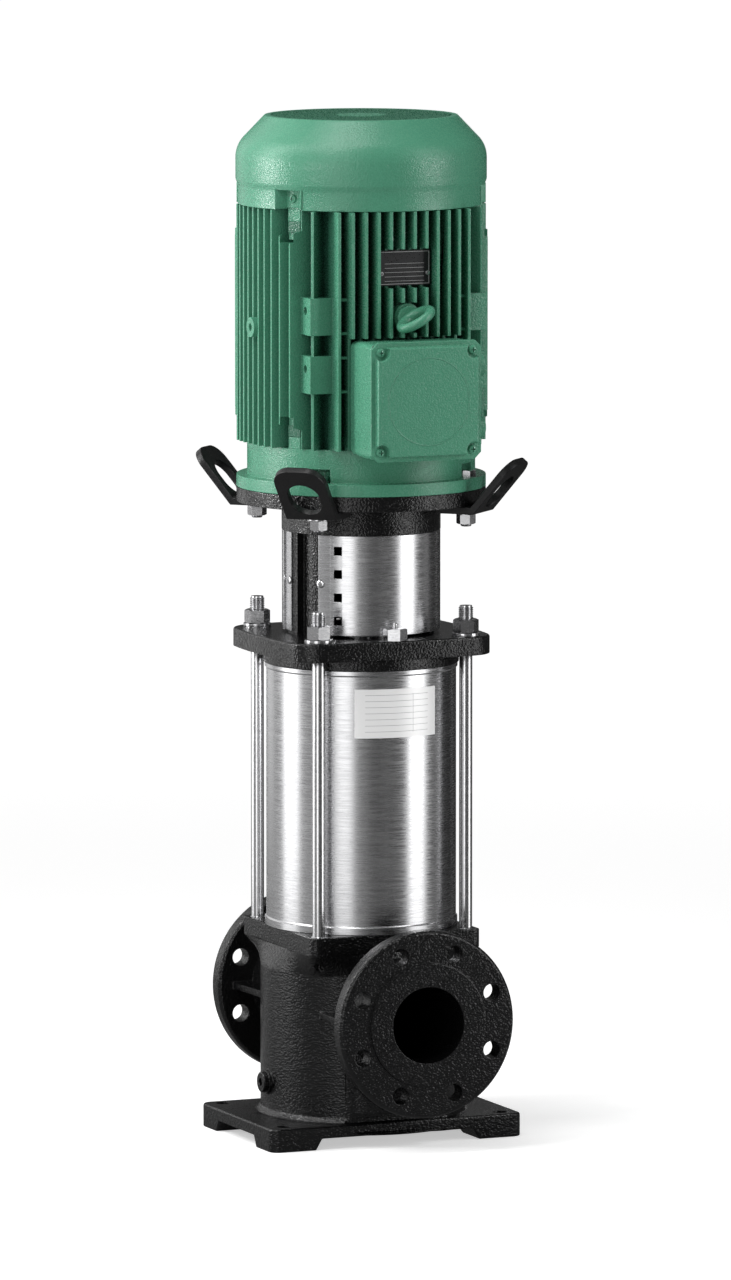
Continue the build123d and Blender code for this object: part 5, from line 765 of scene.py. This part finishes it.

# Between the fins of the frame the enamel's colour is darkened towards the fin roots, as painted
# shade where the fins shade each other. It turns to the full green at their tips, which follow a
# rounded square.
FIN_ROOT_PAINTED_SHADE = (0.020, 0.088, 0.054, 1.0)
TIPS_X = 0.1275
TIPS_Y = 0.1305
SQUARENESS = 2.55
frame_enamel = green_enamel.copy()
frame_enamel.name = "frame_enamel"
nodes, links = frame_enamel.node_tree.nodes, frame_enamel.node_tree.links
axes = object_axes(nodes, links)
powers = []
for axis, tip in (("X", TIPS_X), ("Y", TIPS_Y)):
    share = compute(nodes, links, "DIVIDE", from_value(nodes, links, axes[axis], 0), tip)
    powers.append(compute(nodes, links, "POWER", share, SQUARENESS))
total = compute(nodes, links, "ADD", *powers)
nearness = compute(nodes, links, "POWER", total, 1 / SQUARENESS)
full_green = nodes["Principled BSDF"].inputs["Base Color"].links[0].from_socket
# Painted shade: the green is blended to a dark colour away from the fin tips, down between the
# fins.
shaded = nodes.new("ShaderNodeMix")
shaded.data_type = "RGBA"
shaded.inputs["A"].default_value = FIN_ROOT_PAINTED_SHADE
links.new(full_green, shaded.inputs["B"])
spread(nodes, links, nearness, 0.0, 1.0, shaded.inputs["Factor"], 0.84, 0.99)
links.new(shaded.outputs["Result"], nodes["Principled BSDF"].inputs["Base Color"])
mount(welded_copy("motor_frame", 0.0004), frame_enamel, "motor_green", "pump", "motor_frame")
mount(welded_copy("rear_shield", 0.0005), green_enamel, "motor_green", "pump", "rear_shield")

# Where an ear of a shield ends, a cast root slopes from it to the fins: four under the rear
# shield's ears and four over the drive shield's.
EAR_TURNS = (31, 149, 211, 329)
ROOT_R = 0.1110
ROOT_HEIGHT = 0.0200
ROOT_SLOPE = 0.0120
root_number = 0
for turn in EAR_TURNS:
    out = outward(turn)
    for foot, way in ((0.9535, 1), (0.7890, -1)):
        place = out * ROOT_R + Vector((0, 0, foot + way * ROOT_HEIGHT / 2))
        root = block(place, (0.0150, 0.0158, ROOT_HEIGHT), turn)
        for vertex in root.data.vertices:
            vertex.select = vertex.co.dot(out) > ROOT_R and abs(vertex.co.z - foot) < 0.0010
        bpy.ops.object.mode_set(mode="EDIT")
        bpy.ops.transform.translate(value=(0, 0, way * ROOT_SLOPE))
        bpy.ops.object.mode_set(mode="OBJECT")
        root_number += 1
        mount(settle(root, f"ear_root_{root_number}"), green_enamel, "motor_green", "pump")

# Small cast webs stiffen the gaps between the corner fins on either side of the front, two
# by each pad.
WEB_X = 0.0675
WEB_Y = -0.0945
web_number = 0
for side in (-1, 1):
    for level in (0.8075, 0.8432, 0.8690, 0.9043):
        web = block((side * WEB_X, WEB_Y, level), (0.0112, 0.030, 0.0030))
        rounded(web, 0.0008, sharp_only=False)
        web_number += 1
        mount(settle(web, f"fin_web_{web_number}"), green_enamel, "motor_green", "pump")
keep_nodes(bright_steel, "shield_screws")

# Stator, rotor, shaft and bearings are closed in by the frame. Their shapes are the packed
# nodes', in sheet steel, copper and ground steel.
lamination = streaked_metal("lamination", (0.34, 0.35, 0.37, 1.0), (0.24, 0.25, 0.27, 1.0),
                            0.35, 0.55, 0.05, 0.0005, 0.00005)
copper = streaked_metal("copper", (0.50, 0.17, 0.07, 1.0), (0.40, 0.12, 0.05, 1.0),
                        0.28, 0.45, 0.0012, 0.0012, 0.0002)
keep_nodes(lamination, "stator_core", "rotor_core")
keep_nodes(copper, "stator_windings")
keep_nodes(ground_steel, "motor_shaft", "bearing_outer_rings", "bearing_inner_rings")

# The cooling fan is one black nylon moulding, pressed on the shaft's end under the hood and
# turning with the shaft.
fan_plastic = pebbled_paint("fan_plastic", (0.018, 0.018, 0.019, 1.0),
                            (0.014, 0.014, 0.015, 1.0), 0.0008, 0.00003, 0.42, 0.06)
mount(welded_copy("cooling_fan", 0.0004), fan_plastic, "fan_plastic", "rotor", "cooling_fan")

# The fan hood is a deep-drawn steel shell in the same green enamel. A perforated field in
# its crown lets the air in, and four notches in its rim clear the screw ears.
HOOD_R = 0.1335
HOOD_RIM_R = 0.1310
HOOD_WALL = 0.0020
CROWN_R = 0.1024
CROWN_Z = 1.0915
GRILLE_R = 0.0960
HOOD_FOOT_Z = 0.9974
SHOULDER_Z = 1.046
NOTCH_R = 0.137
NOTCH_Z = 1.0079


def arc_points(first, middle, last, steps):
    """Points of the circle through three (radius, z) points, from the first to the last."""
    (ax, ay), (bx, by), (cx, cy) = first, middle, last
    d = 2 * (ax * (by - cy) + bx * (cy - ay) + cx * (ay - by))
    ux = ((ax * ax + ay * ay) * (by - cy) + (bx * bx + by * by) * (cy - ay)
          + (cx * cx + cy * cy) * (ay - by)) / d
    uy = ((ax * ax + ay * ay) * (cx - bx) + (bx * bx + by * by) * (ax - cx)
          + (cx * cx + cy * cy) * (bx - ax)) / d
    centre = Vector((ux, uy))
    start, stop = Vector(first) - centre, Vector(last) - centre
    swing = start.angle_signed(stop)
    turns = [-swing * step / steps for step in range(steps + 1)]
    return [tuple(centre + Matrix.Rotation(turn, 2) @ start) for turn in turns]


shoulder = arc_points((HOOD_R, SHOULDER_Z), (0.1313, 1.0580), (0.1235, 1.0695), 8)
shoulder += [(CROWN_R + 0.0010, CROWN_Z - 0.0010), (CROWN_R + 0.0001, CROWN_Z - 0.0002),
             (CROWN_R - 0.0008, CROWN_Z)]
lining = arc_points((HOOD_R - HOOD_WALL, SHOULDER_Z), (0.1296, 1.0570), (0.1222, 1.0680), 8)
lining += [(CROWN_R - 0.0004, CROWN_Z - HOOD_WALL)]
hood = turned("hood", [
    (HOOD_RIM_R - HOOD_WALL, HOOD_FOOT_Z), (HOOD_RIM_R - 0.0005, HOOD_FOOT_Z),
    (HOOD_RIM_R, HOOD_FOOT_Z + 0.0005),
    (HOOD_RIM_R, 1.0165), (HOOD_RIM_R + 0.0003, 1.0180), (HOOD_RIM_R + 0.0012, 1.0205),
    (HOOD_R - 0.0003, 1.0230), (HOOD_R, 1.0245),
    *shoulder, (GRILLE_R, CROWN_Z), (GRILLE_R, CROWN_Z - HOOD_WALL),
    *reversed(lining), (HOOD_R - HOOD_WALL, 1.0240), (HOOD_RIM_R - HOOD_WALL, 1.0175),
], steps=192)
for turn in EAR_TURNS:
    place = outward(turn) * NOTCH_R + Vector((0, 0, NOTCH_Z))
    cut(hood, block(place, (0.034, 0.034, 0.0211), turn))
mount(settle(hood, "hood"), green_enamel, "motor_green", "pump", "fan_cover")

# The crown's grille is made of narrow bars in one direction, which reach a little into the
# crown. They lie over two rings, round a plain disc.
BAR_TURN = 60
BAR_PITCH = 0.0034
BAR_THICK = 0.0014
BAR_REACH = 0.001
BAR_Z = CROWN_Z - 0.0008
DISC_R = 0.0262
RING_WIDE = 0.0020
grille = block((0, 0, BAR_Z), (2 * GRILLE_R + BAR_REACH, BAR_THICK, BAR_THICK), BAR_TURN)
bpy.ops.object.mode_set(mode="EDIT")
swing = radians(BAR_TURN)
for row in range(1, int(GRILLE_R / BAR_PITCH)):
    length = 2 * sqrt(GRILLE_R ** 2 - (row * BAR_PITCH) ** 2) + BAR_REACH
    for side in (-1, 1):
        shift = side * row * BAR_PITCH
        place = (-sin(swing) * shift, cos(swing) * shift, BAR_Z)
        bpy.ops.mesh.primitive_cube_add(size=1.0, location=place, rotation=(0, 0, swing),
                                        scale=(length, BAR_THICK, BAR_THICK))
bpy.ops.object.mode_set(mode="OBJECT")
mount(settle(grille, "hood_grille"), green_enamel, "motor_green", "pump", "fan_cover")
for number, radius in enumerate((0.0480, 0.0720)):
    ring = turned(f"hood_ring_{number + 1}", [
        (radius, CROWN_Z - 0.0032), (radius + RING_WIDE, CROWN_Z - 0.0032),
        (radius + RING_WIDE, CROWN_Z - 0.0014), (radius, CROWN_Z - 0.0014)], steps=96)
    mount(ring, green_enamel, "motor_green", "pump", "fan_cover")
disc = turned("hood_disc", [(0.0002, CROWN_Z - HOOD_WALL), (DISC_R, CROWN_Z - HOOD_WALL),
                            (DISC_R, CROWN_Z - 0.0003), (DISC_R - 0.0004, CROWN_Z),
                            (0.0002, CROWN_Z)], steps=72, closed=False)
mount(disc, green_enamel, "motor_green", "pump", "fan_cover")

# In each notch the sheet is pressed in to a pocket: a flat tab that takes a cross-recess screw
# into the ear, a shelf over it and a slanting cheek on either side.
CHEEK_TURN = 42
hood_screw = cross_screw("hood_screw", 0.0045, 0.0025, 0.0025, 0.0110)
for number, turn in enumerate(EAR_TURNS):
    out = outward(turn)
    along = Vector((-out.y, out.x, 0))
    # Each wall has its middle, its turn and its size.
    walls = [(out * 0.1210 + Vector((0, 0, 1.0095)), turn, (0.0018, 0.0200, 0.0200)),
             (out * 0.1254 + Vector((0, 0, 1.0194)), turn, (0.0106, 0.0340, 0.0019))]
    for side in (-1, 1):
        walls.append((out * 0.1259 + along * side * 0.0128 + Vector((0, 0, 1.0088)),
                      turn + side * CHEEK_TURN, (0.0135, 0.0018, 0.0212)))
    pressed = [block(place, size, swing) for place, swing, size in walls]
    for wall in pressed:
        wall.select_set(True)
    tab = pressed[0]
    bpy.context.view_layer.objects.active = tab
    bpy.ops.object.join()
    rounded(tab, 0.0004, sharp_only=False)
    mount(settle(tab, f"hood_tab_{number + 1}"), green_enamel, "motor_green", "pump", "fan_cover")
    place = out * 0.1220 + Vector((0, 0, 1.009))
    piece = stood(hood_screw, place, out, f"hood_screw_{number + 1}")
    mount(piece, green_enamel, "steel_bright", "pump", "fan_cover_screws")
bpy.data.objects.remove(hood_screw)

# The terminal box is an aluminium casting on the frame, with a gasket and a lid held by four
# cross-recess screws. Two cable entries on its right side are blanked off.
BOX_MIDDLE = (0.0, -0.112, 0.801)
BOX_SPREAD = 1.20
BOX_FRONT_Y = -0.125
box = welded_copy("terminal_box")
only(box)
bpy.ops.object.mode_set(mode="EDIT")
bpy.ops.mesh.select_mode(type="VERT")
bpy.ops.mesh.select_all(action="DESELECT")
bpy.ops.object.mode_set(mode="OBJECT")
for vertex in box.data.vertices:
    vertex.select = vertex.co.y > BOX_FRONT_Y
bpy.ops.object.mode_set(mode="EDIT")
bpy.ops.transform.resize(value=(BOX_SPREAD, 1, BOX_SPREAD), center_override=BOX_MIDDLE)
bpy.ops.object.mode_set(mode="OBJECT")
rounded(box, 0.0012)
box = flattened(settle(box, "terminal_box_finished"))
mount(box, green_enamel, "motor_green", "pump", "terminal_box")

# The lid's panel carries one shallow cast ring, made in its enamel. Its four screws hold it
# through the gasket, over the terminal block inside.
LID_RING_R = 0.046
LID_RING_HALF_WIDE = 0.0012
LID_RING_HIGH = 0.0006
LID_FACE_Y = -0.1750
LID_SCREW_OFFSET = 0.0525
lid_enamel = green_enamel.copy()
lid_enamel.name = "lid_enamel"
nodes, links = lid_enamel.node_tree.nodes, lid_enamel.node_tree.links
where = nodes.new("ShaderNodeTexCoord")
offset = nodes.new("ShaderNodeVectorMath")
offset.operation = "MULTIPLY_ADD"
offset.inputs[1].default_value = (1.0, 0.0, 1.0)
offset.inputs[2].default_value = (0.0, 0.0, -BOX_MIDDLE[2])
links.new(where.outputs["Object"], offset.inputs[0])
radius = nodes.new("ShaderNodeVectorMath")
radius.operation = "LENGTH"
links.new(offset.outputs[0], radius.inputs[0])
away = from_value(nodes, links, radius.outputs["Value"], LID_RING_R)
grain = nodes["Bump"]
ridge = nodes.new("ShaderNodeBump")
ridge.inputs["Distance"].default_value = LID_RING_HIGH
height = nodes.new("ShaderNodeMapRange")
height.interpolation_type = "SMOOTHSTEP"
height.inputs["From Max"].default_value = LID_RING_HALF_WIDE
height.inputs["To Min"].default_value = 1.0
height.inputs["To Max"].default_value = 0.0
links.new(away, height.inputs["Value"])
links.new(height.outputs["Result"], ridge.inputs["Height"])
links.new(grain.outputs["Normal"], ridge.inputs["Normal"])
links.new(ridge.outputs["Normal"], nodes["Principled BSDF"].inputs["Normal"])
mount(welded_copy("terminal_lid", 0.0008), lid_enamel, "motor_green", "pump", "terminal_lid")
lid_screw = cross_screw("lid_screw", 0.0048, 0.0030, 0.0025, 0.0140)
for number, (sx, sz) in enumerate(((-1, -1), (-1, 1), (1, -1), (1, 1))):
    place = Vector((sx * LID_SCREW_OFFSET, LID_FACE_Y, BOX_MIDDLE[2] + sz * LID_SCREW_OFFSET))
    piece = stood(lid_screw, place, (0, -1, 0), f"lid_screw_{number + 1}")
    mount(piece, green_enamel, "steel_bright", "pump", "terminal_lid_screws")
bpy.data.objects.remove(lid_screw)
block_plastic = pebbled_paint("block_plastic", (0.30, 0.10, 0.05, 1.0), (0.25, 0.08, 0.04, 1.0),
                              0.0008, 0.00003, 0.45, 0.06)
keep_nodes(block_plastic, "terminal_block")
mount(welded_copy("blanking_plugs", 0.0006), green_enamel, "motor_green", "pump", "blanking_plugs")

# The eyebolt is forged and screwed into a boss on the frame, over the terminal box, and was
# painted with it.
mount(welded_copy("eyebolt", 0.0004, angle=50), green_enamel, "motor_green", "pump", "eyebolt")

# The nameplate is a black anodised sheet riveted over the fins. It carries no words, only a
# thin bright border and rules round empty fields.
PLATE_BLACK = (0.010, 0.010, 0.011, 1.0)
PLATE_LINE = (0.50, 0.50, 0.50, 1.0)
BORDER_INSET = 0.0016
BORDER_HALF_WIDE = 0.00022
PLATE_ROW_HIGH = 0.0046
ROWS_HALF_WIDE = 0.0225
low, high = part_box("nameplate")
half_wide, half_high = (high.x - low.x) / 2, (high.z - low.z) / 2
plate_black, shader, nodes, links = finish("plate_black", PLATE_BLACK, 0.34)
axes = object_axes(nodes, links)
from_left = from_value(nodes, links, axes["X"], 0)
from_middle = from_value(nodes, links, axes["Z"], (low.z + high.z) / 2)
reach = compute(nodes, links, "MAXIMUM",
                compute(nodes, links, "SUBTRACT", from_left, half_wide - BORDER_INSET),
                compute(nodes, links, "SUBTRACT", from_middle, half_high - BORDER_INSET))
border = compute(nodes, links, "LESS_THAN", from_value(nodes, links, reach, 0), BORDER_HALF_WIDE)
rule = level_rules(nodes, links, axes["Z"], low.z + 0.0045, PLATE_ROW_HIGH, 0.06)
below = compute(nodes, links, "LESS_THAN", axes["Z"], high.z - 0.011)
within = compute(nodes, links, "LESS_THAN", from_left, ROWS_HALF_WIDE)
above = compute(nodes, links, "GREATER_THAN", axes["Z"], low.z + 0.004)
rows = compute(nodes, links, "MULTIPLY", compute(nodes, links, "MULTIPLY", rule, below),
               compute(nodes, links, "MULTIPLY", within, above))
lines = compute(nodes, links, "MAXIMUM", border, rows)
tint(nodes, links, lines, PLATE_BLACK, PLATE_LINE, shader.inputs["Base Color"])
marks = place_group(nodes, pebbles, Size=0.0007)
spread(nodes, links, marks.outputs["Height"], 0.26, 0.42, shader.inputs["Roughness"], 0.1, 0.5)
mount(welded_copy("nameplate", 0.0002), plate_black, "plate_black", "pump", "nameplate")
mount(welded_copy("nameplate_rivets", 0.0003), bright_steel, "steel_bright", "pump",
      "nameplate_rivets")
